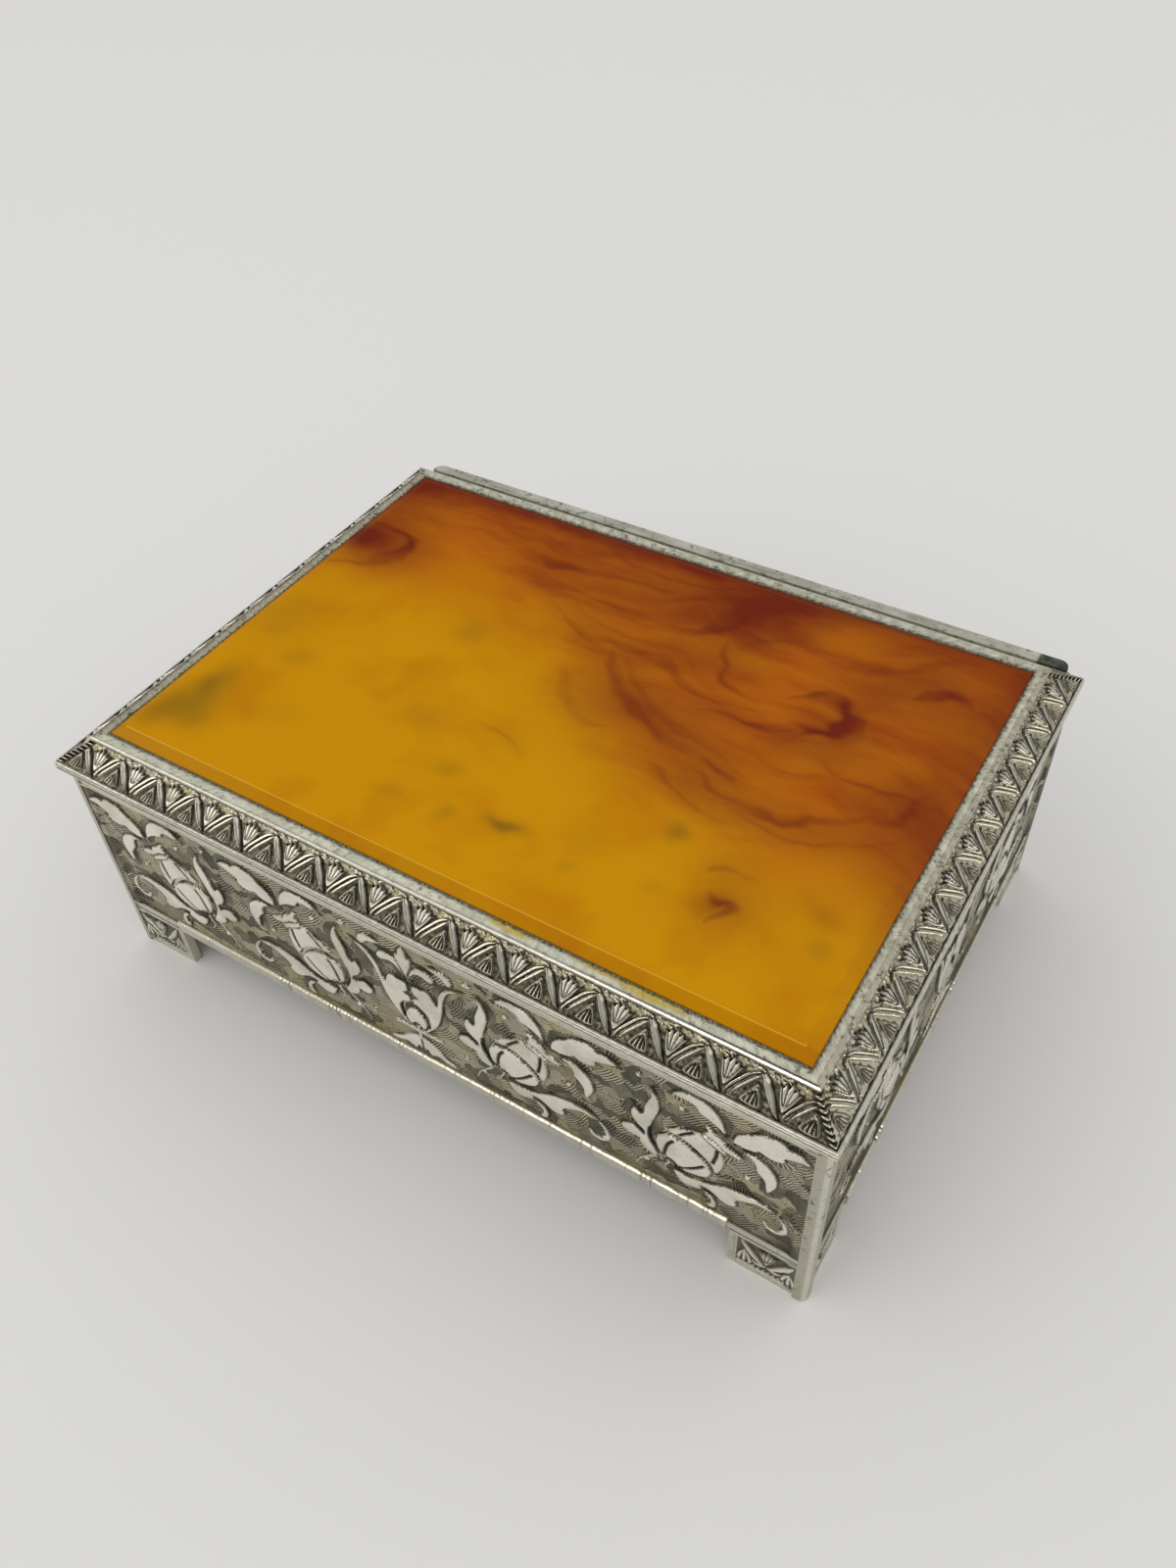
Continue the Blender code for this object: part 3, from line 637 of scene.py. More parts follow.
def add_marks(mesh, name, values):
    marks = mesh.attributes.new(name, "FLOAT", "POINT")
    marks.data.foreach_set("value", values.astype(np.float32))


def add_relief(name, body, finish, step, size, shape, lay, back=0.2):
    """A carved sheet: shape gives its relief, lay the places, and back its depth under the ground."""
    piece = add_piece(name, grid_body(size, step), body, finish)
    carve(piece, size, shape, lay, back)


def lay_in_panel(side, out, panel_reach):
    """Gives the way to lay a sheet in a side's panel. Past the panel's end it rises onto the wall's face."""
    def lay(along, up, height):
        past = unit((np.abs(along) - panel_reach + 0.85) / 0.8)
        past = past * past * (3 - 2 * past)
        front = LIFT - PANEL_DEPTH * (1 - past) + height * (1 - 0.8 * past)
        depth = np.where(height > -0.15, front, LIFT - PANEL_DEPTH + height)
        return on_side(side, along, out + depth, up)

    return lay


def make_wall_reliefs(finish):
    for side in SIDES:
        half, out = half_of(side, BODY_HALF)
        reach = half - FIELD_END
        units = UNITS_LONG if side in ("front", "back") else UNITS_SHORT
        lay = lay_in_panel(side, out, half - PANEL_END)

        def shape(along, up):
            relief = wall_relief(along, up - WALL_FIELD[0], units, reach)
            relief.shade += 0.14 * (side == "right")
            return relief

        for part, ends in (("left", (-reach, 0)), ("right", (0, reach))):
            name = f"{side}_wall_ornament_{part}"
            add_relief(name, "body", finish, WALL_STEP, (*ends, *WALL_PANEL), shape, lay)


class Moulding:
    """The moulding's outer line, from its foot up and in to the bezel, with rounded corners."""

    def __init__(self, points, rounding=0.3, step=0.01):
        line = np.array(points, float)
        runs = np.concatenate([[0], np.cumsum(np.hypot(*np.diff(line, axis=0).T))])
        self.length = runs[-1]
        reach = np.arange(-rounding, self.length + rounding, step)
        bent = [np.interp(reach, runs, line[:, i]) for i in range(2)]
        for i in range(2):
            first, last = line[1] - line[0], line[-1] - line[-2]
            slopes = first[i] / np.hypot(*first), last[i] / np.hypot(*last)
            bent[i] += np.minimum(reach, 0) * slopes[0] + np.maximum(reach - self.length, 0) * slopes[1]
        window = np.ones(round(rounding / step)) / round(rounding / step)
        self.reach = reach
        self.line = [np.convolve(values, window, "same") for values in bent]
        lean = [np.gradient(values) for values in self.line]
        size = np.hypot(*lean)
        self.normal = [-lean[1] / size, lean[0] / size]

    def at(self, across):
        """Distance inward, height, and the outward normal's two shares."""
        inward, up = (np.interp(across, self.reach, values) for values in self.line)
        lean_in, lean_up = (np.interp(across, self.reach, values) for values in self.normal)
        return inward, up, -lean_in, lean_up


def lay_on_moulding(side, half, out, moulding, mitred=True):
    """Gives the way to lay a sheet on a side's moulding, so that mitred ones meet at the corners."""
    def lay(along, across, height):
        inward, up, face_out, face_up = moulding.at(across)
        proud = height + LIFT
        reach = along
        if mitred:
            flare = unit((np.abs(along) - half + 1.5) / 1.5)
            reach = along / half * (half - inward) + np.sign(along) * proud * face_out * flare
        return on_side(side, reach, out - inward + proud * face_out, up + proud * face_up)

    return lay


# How dark each side's band ground is: partly dirt, partly painted shade, darkest on the front.
BAND_DIRT_AND_SHADE = {"front": 1.0, "right": 0.5, "back": 0.3, "left": 0.8}
# The rim's beads from its foot up: middle, half width and rise. Then its end, and the dark line over it
RIM_BEADS = ((0.30, 0.17, 0.17), (0.88, 0.20, 0.17), (1.42, 0.16, 0.25))
RIM_END, RIM_LINE = 1.58, 1.72


def rim_shape(relief, along, across, seed):
    """The rim under the band: two flat beads and a bright ridge, with dark seams and lengthwise scratches."""
    worn = wobble(along, 0.2 * across, 2.6, seed)
    fine = wobble(along, 3 * across, 1.1, seed + 7)
    beads = np.zeros_like(across)
    for middle, half, rise in RIM_BEADS:
        beads = np.maximum(beads, rise * np.sqrt(unit(1 - ((across - middle) / half) ** 2)))
    bright = unit(beads / 0.1)
    relief.fill(
        across < RIM_END,
        height=beads * (1 + 0.08 * worn) + 0.01 * fine - 0.05,
        polish=bright * (0.85 + 0.12 * fine),
        tarnish=(1 - bright) * (1.1 + 0.2 * worn),
        shade=0.15,
        flow=1.2,
    )
    relief.darken(0.9 * bell(across - RIM_LINE, 0.12))


def make_mouldings(finish):
    """A skin over the rim and the sloped band of each rail."""
    line = [(0, RIM_LOW), (0, RIM_HIGH), BAND_FOOT, BAND_HEAD]
    moulding = Moulding(line)
    slope = math.dist(BAND_FOOT, BAND_HEAD)
    start = moulding.length - slope
    for side in SIDES:
        half, out = half_of(side, LID_HALF)
        way = 1 if side in ("front", "back") else -1

        def shape(along, across):
            inward = moulding.at(across)[0]
            x = along * (half - inward) / half
            up = across - start
            relief = band_relief(x, up, half, way, BAND_DIRT_AND_SHADE[side])
            mitre = (half - inward - np.abs(x)) * slope / math.hypot(slope, BAND_HEAD[0] - BAND_FOOT[0])
            relief.flow *= 0.25 if side == "right" else 1.0
            bead_row(relief, mitre, up)
            rim_shape(relief, along, across, 51 + SIDES.index(side))
            if side == "back":
                relief.tarnish *= 0.4
                relief.height *= 0.6
            return relief

        lay = lay_on_moulding(side, half, out, moulding)
        size = (-half, half, 0, moulding.length)
        add_relief(f"lid_{side}_moulding", "lid", finish, BAND_STEP, size, shape, lay, 0.15)


# Rungs down the mitres
RUNG_PITCH, RUNG_LONG, RUNG_HALF = 0.6, 0.55, 0.2


def bead_row(relief, mitre, up):
    """Short rungs down the mitre: each side of the corner carries one half of every rung."""
    along = (up % RUNG_PITCH) - RUNG_PITCH / 2
    bead = np.sqrt(unit(1 - (mitre / RUNG_LONG) ** 2 - (along / RUNG_HALF) ** 2)) * (up > 0.1)
    fade = unit(mitre / 0.9) ** 3
    relief.height = relief.height * fade + 0.5 * bead
    relief.tarnish = np.maximum(relief.tarnish * fade, (1 - fade) * (1 - bead) ** 2)
    relief.polish = np.maximum(relief.polish * fade, bead)


def foot_face(across, up, width, height):
    """A hanging tulip between long leaves, small fans in the lower corners, and beads along the foot."""
    relief = Relief(across, up, BAND_GRIME)
    middle = width / 2
    tulip(relief, (middle, height * 0.32), scale=0.9)
    for side in (-1, 1):
        def place(x, y):
            return (middle + side * x * width / 9.2, y * height / 7)

        leaf = [place(3.9, 6.4), place(3.0, 4.9), place(1.8, 3.3), place(0.5, 2.1)]
        relief.rib(leaf, (0.2, 0.6, 0.6, 0.15), 0.34)
        for x, lean in ((3.4, 0.0), (2.8, -0.7), (4.0, 0.5)):
            relief.rib([place(3.4, 3.9), place(x, 2.5), place(x + lean * 0.5, 1.2)], (0.1, 0.3, 0.36), 0.3)
        relief.rib([place(0.3, 1.9), place(1.4, 1.5), place(2.2, 1.9)], (0.3, 0.3, 0.1), 0.25)
    for i in range(12):
        relief.pearl(((i + 0.5) * width / 12, 0.5), 0.26, 0.3)
    return relief


def make_foot_faces(finish):
    for side in SIDES:
        half, out = half_of(side, BODY_HALF)
        lay = lay_in_panel(side, out, half - PANEL_END)
        inner, outer = half - FOOT_LONG[side] + FOOT_FRAME, half - FIELD_END
        frame_edge = inner - FOOT_FRAME + 0.97
        for part, way in (("left", -1), ("right", 1)):
            def shape(along, up):
                across = np.abs(along) - inner
                height = FOOT_FIELD[1] - FOOT_FIELD[0]
                relief = foot_face(across, up - FOOT_FIELD[0], outer - inner, height)
                plain_strip(relief, (across > 0) & (up > FOOT_FIELD[0]) & (up < FOOT_FIELD[1]))
                return relief

            name = f"{side}_foot_ornament_{part}"
            size = (*sorted((way * frame_edge, way * outer)), *FOOT_PANEL)
            add_relief(name, "body", finish, FOOT_STEP, size, shape, lay)


# The lip along a wall's foot: its outline, inward and up, its rounding and its gap to the bracket foot
LIP_POINTS = ((0.0, -0.12), (-0.33, 0.1), (-0.4, 1.2), (-0.45, 2.25), (0.0, 2.52))
LIP_ROUND = 0.36
LIP_GAP = 0.4


def make_lips(finish):
    """The bead along the foot of each wall, nicked and rubbed."""
    moulding = Moulding([(inward, WALL_FOOT + up) for inward, up in LIP_POINTS], LIP_ROUND)
    for side in SIDES:
        half, out = half_of(side, BODY_HALF)
        reach = half - FOOT_LONG[side] - LIP_GAP

        def shape(along, across):
            relief = Relief(along, across, 0.3)
            seed = 61 + SIDES.index(side)
            worn = wobble(along, across, 1.4, seed)
            nick = unit(np.abs(wobble(along, 0 * across, 0.9, seed + 5)) - 0.75) * 2
            relief.height = 0.02 * worn - 0.08 * nick
            edge = np.minimum(across, moulding.length - across)
            relief.polish = unit(edge / 0.3) * (0.85 + 0.15 * worn)
            relief.tarnish = 0.8 * bell(edge, 0.14) + 0.5 * nick
            return relief

        lay = lay_on_moulding(side, half, out, moulding, mitred=False)
        size = (-reach, reach, 0, moulding.length)
        add_relief(f"{side}_wall_lip", "body", finish, WALL_STEP, size, shape, lay)


CORNERS = {"front_left": (-1, -1), "front_right": (1, -1), "back_left": (-1, 1), "back_right": (1, 1)}
POST_ROUND = 1.0
POST_PROUD = 0.2


def post_body(ways):
    """A strip bent round one corner, with its edges turned in to the walls."""
    half_x, half_y = (half + POST_PROUD for half in BODY_HALF)
    bm = bmesh.new()
    centre = Vector((half_x - POST_ROUND, half_y - POST_ROUND, 0))
    ends = [bm.verts.new((half_x, centre.y, z)) for z in (0.05, WALL_TOP + 0.02)]
    first = bm.edges.new(ends)
    turn = {"cent": centre, "axis": (0, 0, 1), "angle": math.pi / 2, "steps": 10, "use_duplicate": False}
    turned = bmesh.ops.spin(bm, geom=[first, *ends], **turn)["geom_last"]
    last = next(item for item in turned if isinstance(item, bmesh.types.BMEdge))
    reach = FIELD_END + POST_PROUD - POST_ROUND + 0.06
    for edge, steps in ((first, ((0, -reach, 0), (-0.5, 0, 0))), (last, ((-reach, 0, 0), (0, -0.5, 0)))):
        for step in steps:
            verts, (edge,) = extruded(bm, [edge])
            bmesh.ops.translate(bm, verts=verts, vec=step)
    bmesh.ops.recalc_face_normals(bm, faces=bm.faces)
    bmesh.ops.scale(bm, verts=bm.verts, vec=(*ways, 1))
    bmesh.ops.solidify(bm, geom=bm.faces[:], thickness=0.2)
    bmesh.ops.translate(bm, verts=bm.verts, vec=(0, CENTRE_Y, 0))
    bmesh.ops.scale(bm, verts=bm.verts, vec=(MM, MM, MM))
    bmesh.ops.recalc_face_normals(bm, faces=bm.faces)
    for edge in bm.edges:
        edge.smooth = edge.calc_face_angle(0) < 0.6
    return bm


def make_corner_posts(finish):
    """A rounded post up each corner, from the foot to the lid, over the ends of the walls."""
    for place, ways in CORNERS.items():
        add_piece(f"corner_post_{place}", post_body(ways), "body", finish)


# ---- Bezel face with its cement line, and the slab

# Each side's bezel: its bead's width and height, how ragged the line of cement is, and how dark the groove by
# the bead, the specks by the slab and the face are
BEZEL_SIDES = {
    "front": (0.62, 1.0, 0.05, 0.85, 0.25, 0.15),
    "right": (0.8, 0.35, 0.1, 0.4, 0.9, 0.4),
    "back": (0.6, 0.35, 0.15, 0.15, 0.9, 0.5),
    "left": (0.62, 1.0, 0.1, 0.8, 0.8, 1.1),
}
BEZEL_OVERHANG = 0.03
# Smears of glue on the front: place, half length and half width
GLUE_SMEARS = ((16.0, 4.5, 0.75), (30.5, 6.0, 0.35), (36.5, 5.0, 1.1), (41.0, 2.5, 0.6))


def bezel_relief(along, across, side, width):
    """Bezel from its outer edge in to the slab: rounded edge, rough face and a ragged line of cement."""
    index = SIDES.index(side)
    relief = Relief(along, across)
    rough = wobble(along, across, 1.7, 21 + index)
    fine = wobble(along, across, 0.6, 31 + index)
    ragged = wobble(along, 0 * across, 0.9, 81 + index)
    wide, raised, jag, scored, toothed, dirty = BEZEL_SIDES[side]
    if side == "front":
        near = unit((along - 5) / 45)
        wide, raised, scored = wide - 0.28 * (1 - near), raised - 0.25 * (1 - near), scored - 0.6 * near
    bead = unit(across / wide)
    roll = np.sqrt(unit(1 - (2 * bead - 1) ** 2))
    rolled = raised * (0.2 * roll - 0.16 * (1 - bead) ** 2)
    relief.height = np.where(across < wide, rolled, 0.04 * rough + 0.04 * fine)
    meets = width - 0.52 + 0.06 * rough + jag * (ragged + fine)
    cement = unit((across - meets) / 0.1)
    crust = bell(across - meets + 0.16, 0.12) * unit(fine + 0.9 * (side == "back"))
    relief.height += 0.1 * crust - 0.06 * cement
    relief.tarnish = cement * (0.8 + 0.2 * fine)
    relief.darken(scored * bell(across - wide - 0.03, 0.09) * (0.6 + 0.3 * rough))
    relief.polish = np.where(across < wide, raised**1.5, 0.9 * crust)
    teeth = unit(wobble(along, 0.25 * across, 0.55, 91 + index) - 0.35)
    relief.darken(toothed * teeth * unit((across - meets + 0.5) / 0.4))
    dirty = dirty + 0.5 * (side == "right") * (across < wide) + 0.25 * unit(1 - (meets - across) / 0.5)
    relief.shade = unit(dirty + 0.35 * rough + 0.2 * fine)
    if side == "front":
        for place, long, deep in GLUE_SMEARS:
            away = ((along - place) / long) ** 2 + ((across - meets + 0.1) / deep) ** 2
            relief.flow = np.maximum(relief.flow, unit(1.4 * (1 - away)))
    return relief


def make_bezel_faces(finish):
    width = SLAB_INWARD - BEZEL_OUTER + 0.3
    for side in SIDES:
        half, out = half_of(side, LID_HALF)
        long = half - BEZEL_OUTER + BEZEL_OVERHANG

        def shape(along, across):
            return bezel_relief(along, across, side, width)

        def lay(along, across, height):
            inward = BEZEL_OUTER - BEZEL_OVERHANG + across
            return on_side(side, along * (half - inward) / long, out - inward, BEZEL_HIGH.z + LIFT + height)

        name, size = f"lid_bezel_face_{side}", (-long, long, 0, width)
        add_relief(name, "lid", finish, BEZEL_STEP, size, shape, lay, 0.55)


# Swirls in the slab: half width, strength, and a line in mm from the slab's middle
SWIRLS = [
    (1.0, 0.45, [(-17, 38), (-13, 35), (-8, 34), (-2, 33), (5, 34), (12, 36), (18, 38)]),
    (1.5, 0.45, [
        (-57, 29), (-43, 29), (-34, 29), (-26, 28), (-20, 28), (-8, 29), (0, 29), (8, 31), (14, 34), (22, 38),
    ]),
    (0.9, 0.30, [(-57, 35), (-45, 33), (-30, 33), (-18, 32), (-8, 31), (2, 32)]),
    (1.9, 0.65, [(-25, 29), (-21, 28), (-18, 28), (-14, 29)]),
    (3.0, 0.80, [(26, 39), (19, 36), (15, 33), (13, 29), (11, 25), (8, 23), (2, 22)]),
    (1.6, 0.45, [(30, 39), (22, 36), (18, 33), (16, 29), (15, 25)]),
    (1.0, 0.42, [(-24, 22), (-16, 22), (-9, 22), (0, 23), (6, 23)]),
    (0.8, 0.30, [(-20, 18), (-12, 20), (-4, 21), (6, 21), (12, 24)]),
    (2.0, 0.85, [(-57, 23), (-52, 23), (-48, 22), (-46, 19), (-47, 16), (-50, 13), (-57, 9)]),
    (1.3, 0.55, [(-15, 18), (-11, 16), (-6, 14), (0, 14), (7, 14), (12, 12), (17, 10), (23, 10), (28, 11)]),
    (0.7, 0.35, [(-12, 20), (-6, 17), (2, 17), (9, 16), (14, 14)]),
    (2.1, 0.98, [(29, 16), (31, 18), (35, 18), (38, 16), (37, 13), (34, 10), (29, 8), (24, 7), (17, 7)]),
    (0.8, 0.40, [(38, 18), (40, 14), (37, 10), (32, 7), (25, 5)]),
    (1.3, 0.66, [(14, 23), (15, 19), (17, 16), (21, 14), (27, 13)]),
    (0.8, 0.32, [(16, 20), (18, 25), (23, 28), (31, 29)]),
    (1.4, 0.46, [(28, 27), (35, 27), (41, 31), (46, 35), (51, 38)]),
    (2.3, 0.58, [(0, 13), (1, 10), (5, 6), (9, 3), (15, 0), (21, -2), (28, -4)]),
    (0.9, 0.42, [(3, 13), (6, 8), (11, 4), (18, 2), (25, 0), (30, -3)]),
    (1.5, 0.55, [(22, -2), (26, -3), (30, -5)]),
    (1.2, 0.60, [(23, -5), (29, -7), (36, -7), (42, -5), (46, -3), (50, -1)]),
    (0.8, 0.42, [(28, -8), (35, -9), (42, -9), (47, -7), (53, -3)]),
    (0.8, 0.55, [(37, 7), (41, 5), (47, 4), (52, 5), (58, 4)]),
    (1.2, 0.50, [(48, -3), (51, 0), (53, 4), (54, 7)]),
    (1.5, 0.34, [(-7, 6), (-3, 2), (2, -2), (5, -4), (8, -3)]),
    (0.7, 0.35, [(-10, -11), (-4, -12), (1, -14)]),
    (1.1, 0.40, [(34, -20), (34, -19), (37, -18), (41, -18)]),
    (1.5, 0.66, [(35, -23), (37, -25), (39, -24), (39, -26), (37, -28)]),
    (2.6, 0.8, [(44, 24), (47, 27), (51, 28), (54, 26)]),
    (0.8, 0.55, [(55, 1), (56, -2), (58, -5)]),
    (0.7, 0.40, [(15, -5), (20, -7), (26, -10), (34, -11)]),
]
# Broad stains under the swirls: place, half widths and strength
STAINS = [
    (-54, 18, 6.5, 5.0, 0.85), (-30, 39, 40, 5.0, 0.58), (24, 40, 36, 5.5, 0.65), (5, 27, 20, 5.0, 0.32),
    (44, 28, 10, 7.0, 0.34), (15, 32, 9, 5.0, 0.45), (12, 3, 12, 5.0, 0.26), (54, 2, 7, 14, 0.42),
    (-57, 30, 9, 9, 0.5), (37, -25, 2.6, 2.2, 0.42), (49, -19, 3.0, 2.4, 0.26), (60, 28, 6, 16, 0.6),
    (58, -12, 3, 14, 0.25), (-20, 40, 30, 3, 0.4), (-58, 38, 10, 6, 0.4),
]
# Smoky clouds: place, half widths and strength
CLOUDS = [
    (5, -26, 2.6, 1.2, 0.75), (26, -16, 1.6, 1.4, 0.50), (-8, -21, 2.2, 1.8, 0.28),
    (-50, -25, 3.6, 5.5, 0.62), (-54, -32, 4.0, 4.5, 0.55), (-48, -31, 3.4, 3.4, 0.38),
    (-52, -5, 5.0, 6.5, 0.30), (-43, -13, 3.4, 3.0, 0.24), (-12, -29, 3.0, 1.4, 0.26),
    (51, -24, 2.0, 1.8, 0.32), (17, -29, 1.4, 1.2, 0.26), (28, -26, 1.8, 1.5, 0.20),
    (-3, -29, 1.4, 1.2, 0.28), (-17, -14, 3.2, 2.8, 0.22), (-38, -24, 5, 4, 0.12), (-23, 6, 4, 3, 0.25),
    (16, -23, 4, 3, 0.1),
]
TAPER = np.array((0.12, 0.6, 0.9, 1.0, 1.0, 0.8, 0.45, 0.1))


def blots(x, y, places):
    total = np.zeros_like(x)
    for cx, cy, wx, wy, strength in places:
        total += strength * np.exp(-(((x - cx) / wx) ** 2 + ((y - cy) / wy) ** 2))
    return total


def slab_marks(x, y):
    """Rust for the red-brown swirls, smoke for the clouds, and warmth for the turn from yellow to orange."""
    u = x + 0.9 * wobble(x, y, 14.0, 41) + 0.35 * wobble(x, y, 4.5, 42)
    v = y + 0.9 * wobble(x, y, 13.0, 43) + 0.30 * wobble(x, y, 4.0, 45)
    rust = np.clip(blots(u, v, STAINS), 0, 0.9)
    for i, (width, strength, points) in enumerate(SWIRLS):
        path = smooth_line(points, closed=False)
        away, radius = distance_to_line(u, v, path, width * TAPER)
        fade = np.sqrt(radius / width)
        thread = 0.82 + 0.18 * np.sin(away * 4.2 / width + 2 * wobble(u, v, 9.0, 70 + i))
        streak = strength * fade * thread * np.exp(-((away / radius) ** 1.5))
        haze = 0.34 * strength * fade * bell(away, 3.4 * radius + 0.6)
        rust = 1 - (1 - rust) * (1 - np.maximum(streak, haze))
    smoke = blots(u, v, CLOUDS)
    turn = np.interp(x, (-58, -30, -12, 0, 12, 24, 58), (12, 14, 13, 5, -6, -11, -14))
    warmth = 1 / (1 + np.exp(-(y - turn - 3 * wobble(x, y, 30.0, 44)) / 4.5))
    return {"rust": rust, "smoke": smoke, "warmth": warmth}


def slab_body():
    """A flat top, bevelled edges and straight sides, in mm round the slab's middle."""
    half_x, half_y = SLAB_HIGH.x, (SLAB_HIGH.y - SLAB_LOW.y) / 2
    top_x, top_y = half_x - SLAB_BEVEL, half_y - SLAB_BEVEL
    bm = bmesh.new()
    bmesh.ops.create_grid(
        bm,
        x_segments=round(2 * top_x / SLAB_STEP),
        y_segments=round(2 * top_y / SLAB_STEP),
        size=1,
        matrix=Matrix.Diagonal((top_x, top_y, 1, 1)),
    )
    bmesh.ops.translate(bm, verts=bm.verts, vec=(0, 0, SLAB_HIGH.z))
    rim = [edge for edge in bm.edges if edge.is_boundary]
    sharp = []
    for z in (BEZEL_HIGH.z, SLAB_LOW.z):
        sharp += rim
        verts, rim = extruded(bm, rim)
        wide = max(abs(v.co.x) for v in verts)
        deep = max(abs(v.co.y) for v in verts)
        for v in verts:
            v.co = (v.co.x * half_x / wide, v.co.y * half_y / deep, z)
    bmesh.ops.edgeloop_fill(bm, edges=rim)
    for edge in sharp + rim:
        edge.smooth = False
    bmesh.ops.recalc_face_normals(bm, faces=bm.faces)
    return bm


def make_slab(finish):
    """The polished, marbled slab, in the place of the frame's plain one."""
    piece = add_piece("amber_slab_polished", slab_body(), "lid", finish)
    mesh = piece.data
    co = points_of(mesh)
    for name, values in slab_marks(co[:, 0].astype(float), co[:, 1].astype(float)).items():
        add_marks(mesh, name, unit(values))
    co = (co + np.array([0, CENTRE_Y, 0], np.float32)) * MM
    mesh.vertices.foreach_set("co", co.ravel())
    mesh.update()
    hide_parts("amber_slab")


# ---- Finishes

def maths_on(operation, turned=False):
    """An operator of Value, turned where the Value stands on the right."""
    def act(self, other):
        return self.maths(operation, *((other, self) if turned else (self, other)))

    return act


class Value:
    """A number on a socket; arithmetic on it adds Math nodes."""

    __add__, __radd__ = maths_on("ADD"), maths_on("ADD", True)
    __sub__, __rsub__ = maths_on("SUBTRACT"), maths_on("SUBTRACT", True)
    __mul__, __rmul__ = maths_on("MULTIPLY"), maths_on("MULTIPLY", True)
    __truediv__ = maths_on("DIVIDE")

    def __init__(self, finish, socket):
        self.finish = finish
        self.socket = socket

    def maths(self, operation, *operands):
        return self.finish.node("ShaderNodeMath", {"operation": operation}, dict(enumerate(operands)))

    def clipped(self):
        return self.maths("MINIMUM", self.maths("MAXIMUM", self, 0.0), 1.0)

    def at_least(self, other):
        return self.maths("MAXIMUM", self, other)

    def wave(self):
        return self.maths("SINE", self)

    def between(self, low, high):
        """0 below low, 1 above high, smooth between."""
        share = ((self - low) / (high - low)).clipped()
        return share * share * (3 - 2 * share)


class Finish:
    """One procedural material, or the world."""

    def __init__(self, name, kind="materials", shader="Principled BSDF", **constants):
        self.made = getattr(bpy.data, kind).new(name)
        self.made.use_nodes = True
        self.tree = self.made.node_tree
        self.shader = self.tree.nodes[shader]
        for socket, value in constants.items():
            self.shader.inputs[socket.replace("_", " ")].default_value = value

    def feed(self, socket, value):
        if isinstance(value, Value):
            self.tree.links.new(value.socket, socket)
        else:
            socket.default_value = value

    def node(self, kind, settings=None, inputs=None, output=0):
        """Adds a node: settings first, then its inputs, and gives one of its outputs."""
        node = self.tree.nodes.new(kind)
        for name, value in (settings or {}).items():
            if name == "stops":
                set_stops(node.color_ramp, value)
            else:
                setattr(node, name, value)
        for key, value in (inputs or {}).items():
            self.feed(node.inputs[key], value)
        return Value(self, node.outputs[output])

    def place(self):
        """Object coordinates in millimetres."""
        metres = self.node("ShaderNodeTexCoord", output="Object")
        return self.node("ShaderNodeVectorMath", {"operation": "SCALE"}, {0: metres, "Scale": 1 / MM})

    def axes(self, vector):
        return [self.node("ShaderNodeSeparateXYZ", None, {0: vector}, i) for i in range(3)]

    def stretched(self, vector, x, y, z):
        return self.node("ShaderNodeMapping", None, {"Vector": vector, "Scale": (x, y, z)})

    def marks(self, *names):
        """What the carving left on the points, by name."""
        return [self.node("ShaderNodeAttribute", {"attribute_name": name}, None, "Fac") for name in names]

    def geometry(self, output):
        return self.node("ShaderNodeNewGeometry", None, None, output)

    def noise(self, vector, scale, detail=3.0, roughness=0.55, output=0, distortion=0.0):
        inputs = {"Vector": vector, "Scale": scale, "Detail": detail, "Roughness": roughness}
        return self.node("ShaderNodeTexNoise", None, inputs | {"Distortion": distortion}, output)

    def mix(self, share, first, second, blend="MIX"):
        settings = {"data_type": "RGBA", "blend_type": blend}
        return self.node("ShaderNodeMix", settings, {0: share, 6: first, 7: second}, 2)

    def bump(self, height_mm, strength=1.0):
        inputs = {"Strength": strength, "Distance": MM, "Height": height_mm}
        return self.node("ShaderNodeBump", None, inputs)

    def use(self, **sockets):
        for socket, value in sockets.items():
            self.feed(self.shader.inputs[socket.replace("_", " ")], value)
        return self.made


def set_stops(ramp, stops):
    while len(ramp.elements) < len(stops):
        ramp.elements.new(1.0)
    for element, (position, colour) in zip(ramp.elements, stops):
        element.position = position
        element.color = colour


def rgb(red, green, blue):
    """A colour written as it looks, 0 to 255, for a shader's socket."""
    shown = (red, green, blue)
    return (*(((c / 255 + 0.055) / 1.055) ** 2.4 if c > 10 else c / 3294.6 for c in shown), 1.0)


SILVER_PALE = rgb(240, 235, 222)
SILVER_GREY = rgb(198, 193, 173)
SILVER_DARK = rgb(84, 79, 60)
SILVER_BLACK = rgb(34, 32, 25)
SILVER_GREEN = rgb(66, 72, 56)
SILVER_WARM = rgb(206, 194, 160)


